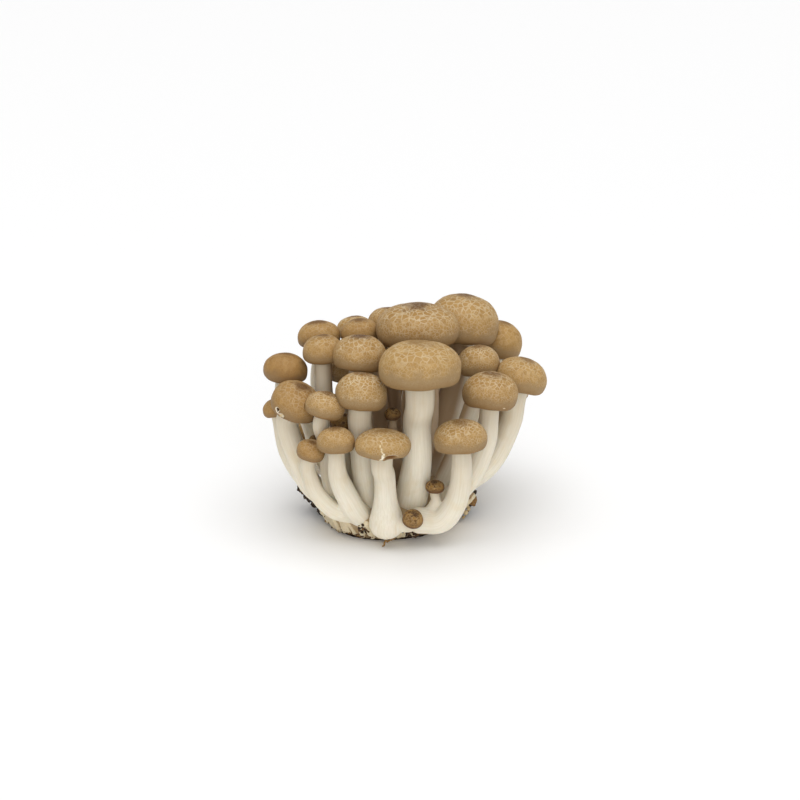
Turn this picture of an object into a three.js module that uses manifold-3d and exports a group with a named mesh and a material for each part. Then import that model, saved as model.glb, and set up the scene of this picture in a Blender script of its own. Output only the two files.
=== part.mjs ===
// A cluster of brown beech mushrooms, standing on its cut foot. Millimetres, +Z up, front towards -Y.
// The origin is on the flat underside, below the middle of the foot.
//
// The cluster grew as tufts of pale stems on one pale foot, with a crust of growing medium round the
// foot's underside. Every stem carries one brown cap with gills below it.

import * as THREE from "three";
import { mergeVertices } from "three/addons/utils/BufferGeometryUtils.js";
import Module from "manifold-3d";

const wasm = await Module();
wasm.setup();

// Driving dimensions
const GAP = 0.35; // between two pieces that press on each other
const FOOT_REST_RADIUS = 23; // of the flat cut underneath
const FOOT_RIM_RADIUS = 28.8;
const FOOT_RIM_HEIGHT = 10.4;
const FOOT_CROWN_HEIGHT = 15;
const FOOT_CENTRE = [-1.8, 1.2];
const CRUST_WALL = 2; // of medium on the foot's flank
const CRUST_FRONT = 2; // its height in front
const CRUST_BACK = 8;
const CRUST_CHIPS = 20;
const CAP_PLUMP = 0.75; // height of a cap above its widest ring, as a share of its radius
const CAP_SKIRT = 0.4; // depth of a cap below that ring, as a share too
const GILL_DEPTH = 0.18; // how far the gills rise from the rim to the stem
const STEM_SIDES = 9;

// Each mushroom: where the middle of its cap's widest ring is, how wide the cap is, how far its top
// leans for 1 mm of rise, the points its stem passes on the way up from its root, and the stem's
// thickness at the root, half way and under the cap. Mushrooms of one tuft share a root.
// Those listed first stand in front and keep their full shape where they press on later ones.
const MUSHROOMS = [
  { name: "front_middle", tuft: "front_middle", at: [-4.8, -32, 41.5], across: 19.2, lean: [0.05, 0.1],
    plump: 0.53, skirt: 0.26, thick: [12.4, 7.8, 6.8],
    path: [[-3.8, -25.2, 8.4], [-4, -27, 18], [-4.4, -29.5, 29]] },
  { name: "front_right", tuft: "front_right", at: [21.7, -28, 42.4], across: 18.2, lean: [-0.06, 0.06],
    plump: 0.68, skirt: 0.4, thick: [9.4, 8, 6.6],
    path: [[7.4, -23.6, 9.4], [15.6, -25.6, 10.4], [20.9, -26, 19]] },
  { name: "front_left", tuft: "front_left", at: [-20.8, -29.4, 41.4], across: 13.2, lean: [0, 0.12],
    plump: 0.76, skirt: 0.41, thick: [8.6, 7.6, 5.4],
    path: [[-13, -20.5, 10], [-15.8, -25.4, 16], [-20.2, -28.6, 28]] },
  { name: "front_big", tuft: "front_big", at: [7.7, -22, 65.6], across: 28.6, lean: [0, 0.13],
    plump: 0.65, skirt: 0.38, thick: [12, 9.8, 10.4],
    path: [[4.8, -14.5, 12], [7, -18.5, 30], [6.9, -21, 46]] },
  { name: "low_left", tuft: "front_left", at: [-29.8, -26, 36.6], across: 10, lean: [0.25, -0.1],
    path: [[-13, -18.5, 9.6], [-22, -23.6, 13.4], [-28.6, -25.8, 22]], thick: [7.4, 6.2, 5.2] },
  { name: "second_left", tuft: "front_left", at: [-24.8, -21.6, 51.2], across: 13.8, lean: [0.25, 0.1],
    plump: 0.76, skirt: 0.4, thick: [7, 6.4, 5.4],
    path: [[-13.6, -16.6, 11], [-22.6, -19, 20], [-24.2, -19.8, 36]] },
  { name: "left_leaning", tuft: "left", at: [-35.6, -14, 50], across: 17.6, lean: [0.42, -0.2],
    plump: 0.81, skirt: 0.39, thick: [9, 8.4, 7.8],
    path: [[-17, -11.4, 10], [-29.6, -14.6, 18], [-34.8, -14.4, 29]] },
  { name: "second_middle", tuft: "second_middle", at: [-12.3, -20.6, 55.4], across: 18.2, lean: [0.08, 0.1],
    plump: 0.85, skirt: 0.42, thick: [8, 9, 8.2],
    path: [[-9.4, -16, 11], [-11.6, -19, 26], [-12.2, -20, 38]] },
  { name: "right_leaning", tuft: "right", at: [32.5, -14, 53.6], across: 19.4, lean: [0.04, 0.07],
    plump: 0.77, skirt: 0.42, thick: [8.4, 7.6, 6.8],
    path: [[17, -13.5, 11], [25.8, -15, 22], [31.4, -14, 36]] },
  { name: "far_right", tuft: "far_right", at: [44.4, 2, 53.6], across: 18.6, lean: [0.22, 0.09],
    plump: 0.81, skirt: 0.42, thick: [8.4, 8, 7.6],
    path: [[18, -4.6, 12], [33.5, -2.5, 22], [41.2, 1, 37]] },
  { name: "far_left_low", tuft: "left", at: [-42.9, -4.6, 44.4], across: 10.4, lean: [-0.2, 0],
    plump: 0.68, skirt: 0.34,
    path: [[-18.6, -9.4, 11], [-31.2, -9.6, 17], [-39.6, -6.4, 28]], thick: [8, 6.2, 5.4] },
  { name: "far_left_high", tuft: "far_left", at: [-40, 0.5, 57], across: 15.8, lean: [0.1, 0.1], plump: 0.8,
    path: [[-18.6, 0, 12], [-28, 1, 25], [-33.4, 4, 39]], thick: [7.4, 6.6, 5.8] },
  { name: "third_left", tuft: "third_left", at: [-26.3, -1.6, 64.6], across: 14.6, lean: [0, 0.07],
    plump: 0.86, skirt: 0.41, thick: [7, 6.8, 6.2],
    path: [[-13, -6, 12], [-23.2, -6.4, 29], [-26, -3, 48]] },
  { name: "third_middle", tuft: "third_middle", at: [-13.1, -7.4, 65.2], across: 19.2, lean: [0.05, 0.09],
    plump: 0.76, skirt: 0.42, path: [[-7, -4, 13], [-11.6, -6.4, 32], [-13, -7.4, 50]], thick: [8, 8, 7] },
  { name: "centre_big", tuft: "centre_big", at: [7.2, 7.6, 70.6], across: 29.6, lean: [0, 0.07],
    plump: 0.6, skirt: 0.34, path: [[5.6, 1, 13], [9.4, 3, 34], [9, 5.5, 54]], thick: [10, 11, 10.6] },
  { name: "right_small", tuft: "far_right", at: [29.3, 5.5, 58.1], across: 15.4, lean: [-0.08, 0.07],
    plump: 0.83, skirt: 0.45, thick: [7.4, 7, 6.2],
    path: [[15.6, -3, 12.6], [21.6, -0.4, 26], [27.4, 3.6, 42]] },
  { name: "back_right_big", tuft: "back_right_big", at: [24.2, 25, 66.6], across: 27, lean: [0.12, 0.14],
    plump: 0.85, skirt: 0.36, path: [[12, 9, 12], [18.6, 15, 34], [22.4, 20, 50]], thick: [9.6, 10.6, 10] },
  { name: "behind_left", tuft: "fourth_middle", at: [-17.8, 6.8, 55], across: 15, lean: [0, 0],
    path: [[-9, 6, 13], [-14.8, 7, 26], [-17.4, 6.8, 41]], thick: [7, 6.6, 5.8] },
  { name: "fourth_left", tuft: "fourth_left", at: [-28.4, 13.5, 65.7], across: 15.4, lean: [-0.05, 0.05],
    path: [[-17, 7, 13], [-26.4, 11, 28], [-29, 13.4, 48]], thick: [7, 6.6, 6] },
  { name: "fourth_middle", tuft: "fourth_middle", at: [-13.6, 13.4, 66.9], across: 14.4, lean: [-0.1, 0.05],
    path: [[-5.6, 8.6, 13], [-6.2, 13, 34], [-9, 15, 54]], thick: [6.6, 6.6, 5.8] },
  { name: "right_back", tuft: "right_back", at: [38.3, 31, 57.8], across: 17.6, lean: [0.25, 0.1],
    plump: 0.95, skirt: 0.5,
    path: [[18.6, 9, 12], [29, 18, 28], [35.4, 25, 45]], thick: [7.6, 7, 6.2] },
  { name: "fifth_middle", tuft: "fifth_middle", at: [-3.4, 25, 67.4], across: 15.6, lean: [-0.05, 0.1],
    path: [[-1, 15, 12], [-1.8, 20, 36], [-3.2, 23, 54]], thick: [7.6, 7, 6.2] },
  { name: "fifth_left", tuft: "fourth_middle", at: [-15.9, 27, 64.4], across: 13.4, lean: [-0.1, 0.15],
    path: [[-8.4, 10.4, 13], [-14.4, 18, 30], [-17, 24, 50]], thick: [7, 6.6, 5.8] },
  { name: "sixth_middle", tuft: "fifth_middle", at: [3.8, 36.4, 64.4], across: 16.4, lean: [0.05, 0.15],
    path: [[2.6, 17.4, 13], [4.6, 26, 32], [6, 33, 50]], thick: [7.6, 7.2, 6.4] },
  { name: "back_middle", tuft: "back_left", at: [-11, 39, 50], across: 17, lean: [-0.1, 0.2],
    path: [[-8, 21, 12.6], [-10, 29.4, 22], [-10.6, 35.6, 36]], thick: [8.4, 7.6, 6.6] },
  { name: "back_left", tuft: "back_left", at: [-24, 31, 30], across: 12.6, lean: [-0.15, 0.2],
    path: [[-10.6, 20.4, 12.6], [-19.8, 26.4, 14.6], [-23.2, 29.8, 21.4]], thick: [7.6, 6, 5] },
  { name: "left_back", tuft: "fourth_left", at: [-37, 14, 28.4], across: 11, lean: [-0.2, 0.1],
    path: [[-17, 8, 13.4], [-29, 12, 14.8], [-35, 13.6, 20.6]], thick: [6.8, 5.4, 4.4] },
  { name: "back_right", tuft: "back", at: [15.4, 43.6, 52], across: 16.6, lean: [0.05, 0.25],
    path: [[6.4, 22.4, 12.4], [11.4, 31.6, 21], [14, 39.6, 36]], thick: [8, 7.4, 6.4] },
  { name: "back_low", tuft: "back", at: [2.6, 42.4, 34.4], across: 12.8, lean: [0, 0.25],
    path: [[4.4, 22, 12.4], [2.8, 32.4, 14.8], [2.4, 38.6, 22.6]], thick: [7.6, 6.2, 5] },
  { name: "right_back_middle", tuft: "back_right", at: [34.4, 38, 48], across: 15.4, lean: [0.15, 0.2],
    path: [[14, 15, 12], [25.6, 27.4, 19], [32.6, 35.2, 33]], thick: [8, 7, 6] },
  { name: "back_right_low", tuft: "back_right", at: [22.4, 40.6, 31.6], across: 12, lean: [0.1, 0.25],
    path: [[12.6, 17.6, 11.6], [18, 31, 13.4], [21, 37.8, 20]], thick: [7, 6, 4.8] },
  { name: "right_low", tuft: "right_back", at: [42.4, 17, 44.6], across: 13.4, lean: [0.25, 0.05],
    path: [[19.4, 6.6, 12], [33, 12, 18], [40, 15.6, 30]], thick: [7.6, 6.4, 5.4] },
  // The pinheads: very young mushrooms with darker caps
  { name: "pin_inner", tuft: "centre_big", at: [-1.6, -8.4, 43.4], across: 6, lean: [0, 0],
    pin: true, plump: 0.8, path: [[2, -2, 15], [-0.6, -6, 26], [-1.4, -8, 34]], thick: [5, 3.8, 3.2] },
  { name: "pin_right", tuft: "front_right", at: [13.2, -23.4, 22.2], across: 6.8, lean: [0, -0.05],
    pin: true, plump: 0.6, path: [[10.6, -22, 11], [12.6, -23, 14], [13.6, -23.4, 18]], thick: [5, 4, 3.2] },
  { name: "pin_front", tuft: "front_middle", at: [5.4, -31, 13.2], across: 7.2, lean: [0.2, -0.6],
    pin: true, plump: 0.95, path: [[-1.4, -25.6, 8.6], [1.8, -27.4, 9.4]], thick: [6, 5, 4.2] },
  { name: "pin_left", tuft: "third_left", at: [-28.2, -14.4, 35.4], across: 6.6, lean: [0, 0], pin: true,
    path: [[-16, -6.8, 15], [-24.4, -10.6, 22], [-27.6, -14, 29]], thick: [4.6, 3.8, 3.2] },
  { name: "pin_behind", tuft: "third_left", at: [-19.4, -12.8, 42], across: 8.6, lean: [0, 0], pin: true,
    path: [[-13, -7, 14], [-18, -10.4, 25], [-19.2, -12.4, 34]], thick: [5, 4.2, 3.6] },
];

// Rims that tore as the bunch was handled: which cap, where on it, and how wide and high the bite is
const TEARS = [
  { cap: "front_middle", at: [-1.1, -42, 39.4], size: [7.6, 3.8, 4.2] },
  { cap: "left_leaning", at: [-41.5, -21.4, 49.8], size: [2.6, 3.4, 2.4] },
];

// Clods of growing medium still hanging on: middle and size across
const CLODS = [
  [-31.6, 4.6, 7, 7], [-35.2, 5.6, 9.2, 4.4], [-27.2, -5.4, 4.2, 5.6], [25.4, 2, 5, 6], [27.6, 4.6, 8, 3.6],
  [14, 27, 5.4, 6], [-15, 26, 6, 7], [-30.4, -1, 9.6, 4],
];

const COLOURS = {
  cap: { color: 0xa98a58, roughness: 0.55 },
  pin: { color: 0x6e4c2c, roughness: 0.55 },
  stem: { color: 0xdcd3bf, roughness: 0.62 },
  foot: { color: 0xcdbf9f, roughness: 0.8 },
  crust: { color: 0x4a3524, roughness: 0.95 },
};

// A closed skin over a row of rings. Each ring is a list of points, all going round the same way,
// and neighbours may have different counts. The first and last rings are single points.
function skin(rings) {
  const points = rings.flat();
  const faces = [];
  let first = 0;
  for (let r = 0; r + 1 < rings.length; r++) {
    const [a, b] = [rings[r].length, rings[r + 1].length];
    const second = first + a;
    let i = 0;
    let j = 0;
    while (i < (a > 1 ? a : 0) || j < (b > 1 ? b : 0)) {
      const stepA = b === 1 || (a > 1 && (i + 1) / a <= (j + 1) / b);
      const [va, vb] = [first + (i % a), second + (j % b)];
      if (stepA) {
        faces.push(va, first + ((i + 1) % a), vb);
        i++;
      } else {
        faces.push(va, second + ((j + 1) % b), vb);
        j++;
      }
    }
    first = second;
  }
  const geometry = new THREE.BufferGeometry();
  geometry.setAttribute("position", new THREE.Float32BufferAttribute(points.flatMap((p) => p.toArray()), 3));
  geometry.setIndex(faces);
  return geometry;
}

// The same numbers every time, between 0 and 1
let seed = 11;
function random() {
  seed = (seed * 16807) % 2147483647;
  return (seed - 1) / 2147483646;
}

const ring = (count, place) => Array.from({ length: count }, (_, i) => place((2 * Math.PI * i) / count, i));

function solid(geometry) {
  const bare = geometry.clone();
  bare.deleteAttribute("normal");
  bare.deleteAttribute("uv");
  const merged = mergeVertices(bare, 1e-4);
  return new wasm.Manifold(
    new wasm.Mesh({
      numProp: 3,
      vertProperties: merged.attributes.position.array,
      triVerts: new Uint32Array(merged.index.array),
    }),
  );
}

const union = (solids) => solids.reduce((all, one) => all.add(one));

// The largest piece of a solid: what a cut leaves loose is dropped.
const whole = (body) => body.decompose().sort((a, b) => b.volume() - a.volume())[0];

const leanOf = (m) => new THREE.Vector3(m.lean[0], m.lean[1], 1).normalize();

// Turns a shape made round +Z at the origin to the cap's own lean and place.
function placed(geometry, m) {
  const turn = new THREE.Quaternion().setFromUnitVectors(new THREE.Vector3(0, 0, 1), leanOf(m));
  return geometry.applyQuaternion(turn).translate(...m.at);
}

// How deep a cap's skirt hangs, as a share of its radius, and how far below the cap's widest ring
// its stem ends.
const skirtOf = (m) => m.skirt ?? CAP_SKIRT;
const seatOf = (m) => ((skirtOf(m) - GILL_DEPTH) * m.across) / 2;

// A cap: a plump dome, a skirt that curls in below the widest ring, and gills that rise from the
// skirt's inner edge to the stem as a folded sheet.
function capShape(m) {
  const r = m.across / 2;
  const big = m.across > 24;
  const sides = m.pin ? 8 : big ? 20 : m.across > 14 ? 14 : 12;
  const folds = sides * (m.pin ? 2 : 3);
  const height = r * (m.plump ?? CAP_PLUMP);
  const skirt = skirtOf(m) * r;
  const seat = seatOf(m);
  const inner = (m.pin ? 0.74 : 0.8) * r; // where the rolled rim ends and the gills begin
  const collar = Math.min(m.thick.at(-1) / 2 + GAP + 0.3, inner - 0.1 * r); // round the stem's end
  const circle = (radius, z) =>
    ring(sides, (a) => new THREE.Vector3(radius * Math.cos(a), radius * Math.sin(a), z));
  const dome = [32, 60, 82].map((degrees) => {
    const a = THREE.MathUtils.degToRad(degrees);
    return circle(r * Math.sin(a) ** 0.88, height * Math.cos(a) ** 0.88);
  });
  const gills = ring(folds, (a, i) => {
    const z = i % 2 ? -skirt + 0.03 * r : -seat - 0.02 * r;
    return new THREE.Vector3(inner * Math.cos(a), inner * Math.sin(a), z);
  });
  return skin([
    [new THREE.Vector3(0, 0, -seat)],
    circle(collar, -seat),
    gills,
    circle(0.88 * r, -skirt),
    circle(0.985 * r, -0.5 * skirt),
    ...dome.reverse(),
    [new THREE.Vector3(0, 0, height)],
  ]);
}

// A cap's outer shape grown by a gap, which its neighbours are cut back from.
function capRoom(m) {
  const r = m.across / 2 + GAP;
  const height = (m.across / 2) * (m.plump ?? CAP_PLUMP) + GAP;
  const skirt = (skirtOf(m) * m.across) / 2 + GAP;
  const sides = m.across > 24 ? 20 : 14;
  const circle = (radius, z) =>
    ring(sides, (a) => new THREE.Vector3(radius * Math.cos(a), radius * Math.sin(a), z));
  return skin([
    [new THREE.Vector3(0, 0, -skirt)],
    circle(0.88 * r, -skirt),
    circle(0.985 * r, -0.5 * skirt),
    ...[82, 60, 32].map((degrees) => {
      const a = THREE.MathUtils.degToRad(degrees);
      return circle(r * Math.sin(a) ** 0.88, height * Math.cos(a) ** 0.88);
    }),
    [new THREE.Vector3(0, 0, height)],
  ]);
}

// The line a stem follows, from its root to its seat under the cap.
function stemLine(m) {
  const axis = leanOf(m);
  const seat = new THREE.Vector3(...m.at).addScaledVector(axis, -seatOf(m) - GAP);
  const below = seat.clone().addScaledVector(axis, -0.35 * m.across);
  return new THREE.CatmullRomCurve3([...m.path.map((p) => new THREE.Vector3(...p)), below, seat]);
}

// A stem: round sections along its line, as thick as its root, its middle and its top say, with a
// blunt lower end. The grown version leaves room round it for its neighbours.
function stemShape(m, grown = 0) {
  const line = stemLine(m);
  const bands = m.pin ? 4 : 7;
  const sides = m.pin ? 7 : STEM_SIDES;
  const frames = line.computeFrenetFrames(bands, false);
  const radius = (t) => {
    const [root, middle, top] = m.thick;
    const { lerp } = THREE.MathUtils;
    return (t < 0.5 ? lerp(root, middle, 2 * t) : lerp(middle, top, 2 * t - 1)) / 2 + grown;
  };
  const section = (t, i, share, shift = 0) => {
    const centre = line.getPointAt(t).addScaledVector(frames.tangents[i], shift);
    return ring(sides, (a) =>
      centre
        .clone()
        .addScaledVector(frames.normals[i], share * radius(t) * Math.cos(a))
        .addScaledVector(frames.binormals[i], share * radius(t) * Math.sin(a)),
    );
  };
  const start = line.getPointAt(0).addScaledVector(frames.tangents[0], -0.75 * radius(0));
  const end = line.getPointAt(1).addScaledVector(frames.tangents[bands], grown);
  const rings = [[start], section(0, 0, 0.72, -0.55 * radius(0))];
  for (let i = 0; i <= bands; i++) rings.push(section(i / bands, i, 1, i === bands ? grown : 0));
  return skin([...rings, [end]]);
}

// The foot: the block of pale tissue that all stems grow from, cut flat underneath. It widens upwards
// like a bowl, its flank is ribbed where young stems ran together, and its crown is a low dome.
const flank = (z) => THREE.MathUtils.mapLinear(z, 0, FOOT_RIM_HEIGHT, FOOT_REST_RADIUS, FOOT_RIM_RADIUS);
const unround = (a) => 1 + 0.03 * Math.sin(2 * a + 0.6) + 0.025 * Math.sin(3 * a + 2);
const aroundFoot = (a, radius, z) =>
  new THREE.Vector3(
    FOOT_CENTRE[0] + radius * unround(a) * Math.cos(a),
    FOOT_CENTRE[1] + 0.94 * radius * unround(a) * Math.sin(a),
    z,
  );

function footShape(grown = 0) {
  const sides = 36;
  const band = (radius, z, rib) =>
    ring(sides, (a, i) => aroundFoot(a, radius + (i % 2 ? rib : 0) + grown, z));
  const middle = (z) => [aroundFoot(0, 0, z)];
  return skin([
    middle(-grown),
    band(flank(0), -grown, 0.4),
    band(flank(0.45 * FOOT_RIM_HEIGHT) + 0.8, 0.45 * FOOT_RIM_HEIGHT, 1.1),
    band(flank(FOOT_RIM_HEIGHT), FOOT_RIM_HEIGHT, 0.7),
    band(0.8 * FOOT_RIM_RADIUS, FOOT_RIM_HEIGHT + 2.6 + grown, 0),
    band(0.4 * FOOT_RIM_RADIUS, FOOT_CROWN_HEIGHT + grown, 0),
    middle(FOOT_CROWN_HEIGHT + 0.4 + grown),
  ]);
}

// The crust of growing medium on the foot's flank: hardly there at the front, higher at the sides
// and the back, ragged along its top, with chips of wood and a few clods in it.
const crustHeight = (a) =>
  CRUST_FRONT + (CRUST_BACK - CRUST_FRONT) * (1 - Math.max(0, -Math.sin(a)) ** 0.8) +
  (0.8 * Math.sin(5 * a + 1) + 0.5 * Math.sin(11 * a)) * (1 - 0.6 * Math.max(0, -Math.sin(a)));

function crustShape() {
  const sides = 36;
  const tooth = (i, step) => (i % step === 0 ? 0.7 : 0);
  const bowl = skin([
    [aroundFoot(0, 0, 0)],
    ring(sides, (a, i) => aroundFoot(a, flank(0) + 1.2 + tooth(i, 4), 0)),
    ring(sides, (a, i) => {
      const z = crustHeight(a) / 2;
      return aroundFoot(a, flank(z) + CRUST_WALL + tooth(i, 3), z);
    }),
    ring(sides, (a, i) => aroundFoot(a, flank(crustHeight(a)) + 1.5, crustHeight(a) + tooth(i, 2))),
    [aroundFoot(0, 0, 6)],
  ]);
  const chips = Array.from({ length: CRUST_CHIPS }, () => {
    const a = 2 * Math.PI * random();
    const z = 1.8 + Math.max(0, crustHeight(a) - 2.4) * random();
    const chip = new THREE.BoxGeometry(1.2 + 1.4 * random(), 2 + 1.6 * random(), 1 + 0.6 * random());
    chip.rotateX(random()).rotateY(random()).rotateZ(a + 0.8 * random());
    return solid(chip.translate(...aroundFoot(a, flank(z) + CRUST_WALL, z).toArray()));
  });
  const clods = CLODS.map(([x, y, z, across]) => {
    const clod = new THREE.DodecahedronGeometry(across / 2).scale(0.9, 1, 0.8);
    return solid(clod.rotateZ(x).rotateX(0.3).translate(x, y, z));
  });
  return union([solid(bowl), ...chips, ...clods]);
}

// Cutting: each piece is cut back from those that come before it.
const foot = solid(footShape());
const footRoom = solid(footShape(GAP));
const capRooms = new Map(MUSHROOMS.map((m) => [m.name, solid(placed(capRoom(m), m))]));

const pieces = [];
const touches = (a, b) => a.intersect(b).volume() > 0.001;

MUSHROOMS.forEach((m, i) => {
  let cap = solid(placed(capShape(m), m));
  for (const tear of TEARS.filter((t) => t.cap === m.name)) {
    const bite = new THREE.IcosahedronGeometry(0.5, 1).scale(...tear.size).translate(...tear.at);
    cap = whole(cap.subtract(solid(bite)));
  }
  for (const earlier of MUSHROOMS.slice(0, i)) {
    const room = capRooms.get(earlier.name);
    if (touches(cap, room)) cap = whole(cap.subtract(room));
  }
  pieces.push({ name: "cap_" + m.name, body: cap, finish: m.pin ? "pin" : "cap" });
});

const tufts = [...new Set(MUSHROOMS.map((m) => m.tuft))];
const tuftRooms = [];
for (const tuft of tufts) {
  const members = MUSHROOMS.filter((m) => m.tuft === tuft);
  const stems = members.map((m) => {
    let stem = solid(stemShape(m));
    for (const [name, room] of capRooms) {
      if (name !== m.name && touches(stem, room)) stem = stem.subtract(room);
    }
    return stem;
  });
  let body = union(stems).subtract(footRoom);
  for (const room of tuftRooms) if (touches(body, room)) body = body.subtract(room);
  tuftRooms.push(union(members.map((m) => solid(stemShape(m, GAP)))));
  pieces.push({ name: "stems_" + tuft, body: whole(body), finish: "stem" });
}
pieces.push({ name: "foot", body: foot, finish: "foot" });
const crust = crustShape().subtract(union([footRoom, ...tuftRooms]));
pieces.push({ name: "crust", body: whole(crust), finish: "crust" });

const cluster = new THREE.Group();
for (const { name, body, finish } of pieces) {
  const mesh = body.getMesh();
  const geometry = new THREE.BufferGeometry();
  geometry.setAttribute("position", new THREE.BufferAttribute(new Float32Array(mesh.vertProperties), 3));
  geometry.setIndex(new THREE.BufferAttribute(new Uint32Array(mesh.triVerts), 1));
  const material = new THREE.MeshStandardMaterial({ ...COLOURS[finish], metalness: 0 });
  const piece = new THREE.Mesh(geometry, material);
  piece.name = name;
  cluster.add(piece);
}

export default cluster;
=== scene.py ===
# %% [markdown]
# # A bunch of brown beech mushrooms
# A bunch like this grows out of a bottle of chipped wood and bran. Its stems rise together from a
# shared foot, each carries a round brown cap with gills below it, and crumbs of the growing medium
# still hang on the foot. The solids of the bunch are loaded first and stay the measure of every
# size: each fine piece made here stands where its solid stands.

import math
from functools import partial

import bmesh
import bpy
import numpy as np
from mathutils import Matrix, Vector, kdtree, noise
from mathutils.bvhtree import BVHTree


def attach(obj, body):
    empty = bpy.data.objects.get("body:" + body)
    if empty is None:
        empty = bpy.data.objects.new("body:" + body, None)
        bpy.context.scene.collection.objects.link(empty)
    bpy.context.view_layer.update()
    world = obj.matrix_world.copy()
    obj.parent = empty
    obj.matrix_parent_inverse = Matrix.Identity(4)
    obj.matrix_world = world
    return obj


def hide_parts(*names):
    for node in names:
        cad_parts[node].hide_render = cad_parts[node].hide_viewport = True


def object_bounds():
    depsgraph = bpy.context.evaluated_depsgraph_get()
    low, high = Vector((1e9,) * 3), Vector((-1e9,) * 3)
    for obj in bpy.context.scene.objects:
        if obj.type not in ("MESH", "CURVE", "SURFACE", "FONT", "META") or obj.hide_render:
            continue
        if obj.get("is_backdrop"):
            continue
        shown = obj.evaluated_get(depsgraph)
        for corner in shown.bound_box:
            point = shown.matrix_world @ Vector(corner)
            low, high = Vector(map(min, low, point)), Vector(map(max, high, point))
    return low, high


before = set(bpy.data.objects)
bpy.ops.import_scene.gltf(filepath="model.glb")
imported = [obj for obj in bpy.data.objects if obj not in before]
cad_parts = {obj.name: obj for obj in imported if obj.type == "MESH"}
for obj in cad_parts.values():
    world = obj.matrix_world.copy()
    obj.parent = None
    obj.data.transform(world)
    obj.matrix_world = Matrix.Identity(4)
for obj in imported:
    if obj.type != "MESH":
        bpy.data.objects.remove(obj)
cad_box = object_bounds()
scene = bpy.context.scene
MM = 0.001
print("solids:", len(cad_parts))

# %% [markdown]
# ## The camera
# The photograph looks at the bunch from the front and a little above. A 62 mm lens half a metre
# away gives the same gentle perspective. It comes first, so that every later step can be looked at
# through it.

# %% The camera
ELEVATION = math.radians(20)
DISTANCE = 500 * MM
AIM = Vector((1, 0, 46)) * MM


def placed(name, data):
    """A new object in the scene."""
    thing = bpy.data.objects.new(name, data)
    scene.collection.objects.link(thing)
    return thing


camera = placed("camera", bpy.data.cameras.new("camera"))
camera.data.lens = 62.5
camera.data.sensor_width = 36
camera.data.clip_start = 0.02
backwards = Vector((0, -math.cos(ELEVATION), math.sin(ELEVATION)))
camera.location = AIM + backwards * DISTANCE
camera.rotation_euler = (-backwards).to_track_quat("-Z", "Y").to_euler()
scene.camera = camera
print("camera at", [round(v, 3) for v in camera.location])

# %% [markdown]
# ## The mushrooms, one by one
# No two mushrooms of a bunch are alike, so each has a line of its own, in millimetres: where the
# widest ring of its cap is, how wide the cap is, how far it leans for 1 mm of rise, how plump its
# dome and how deep its skirt are as shares of its radius, the points that its stem passes, and how
# thick the stem is at the root, half way and under the cap. The solids came from the same numbers.

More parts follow.
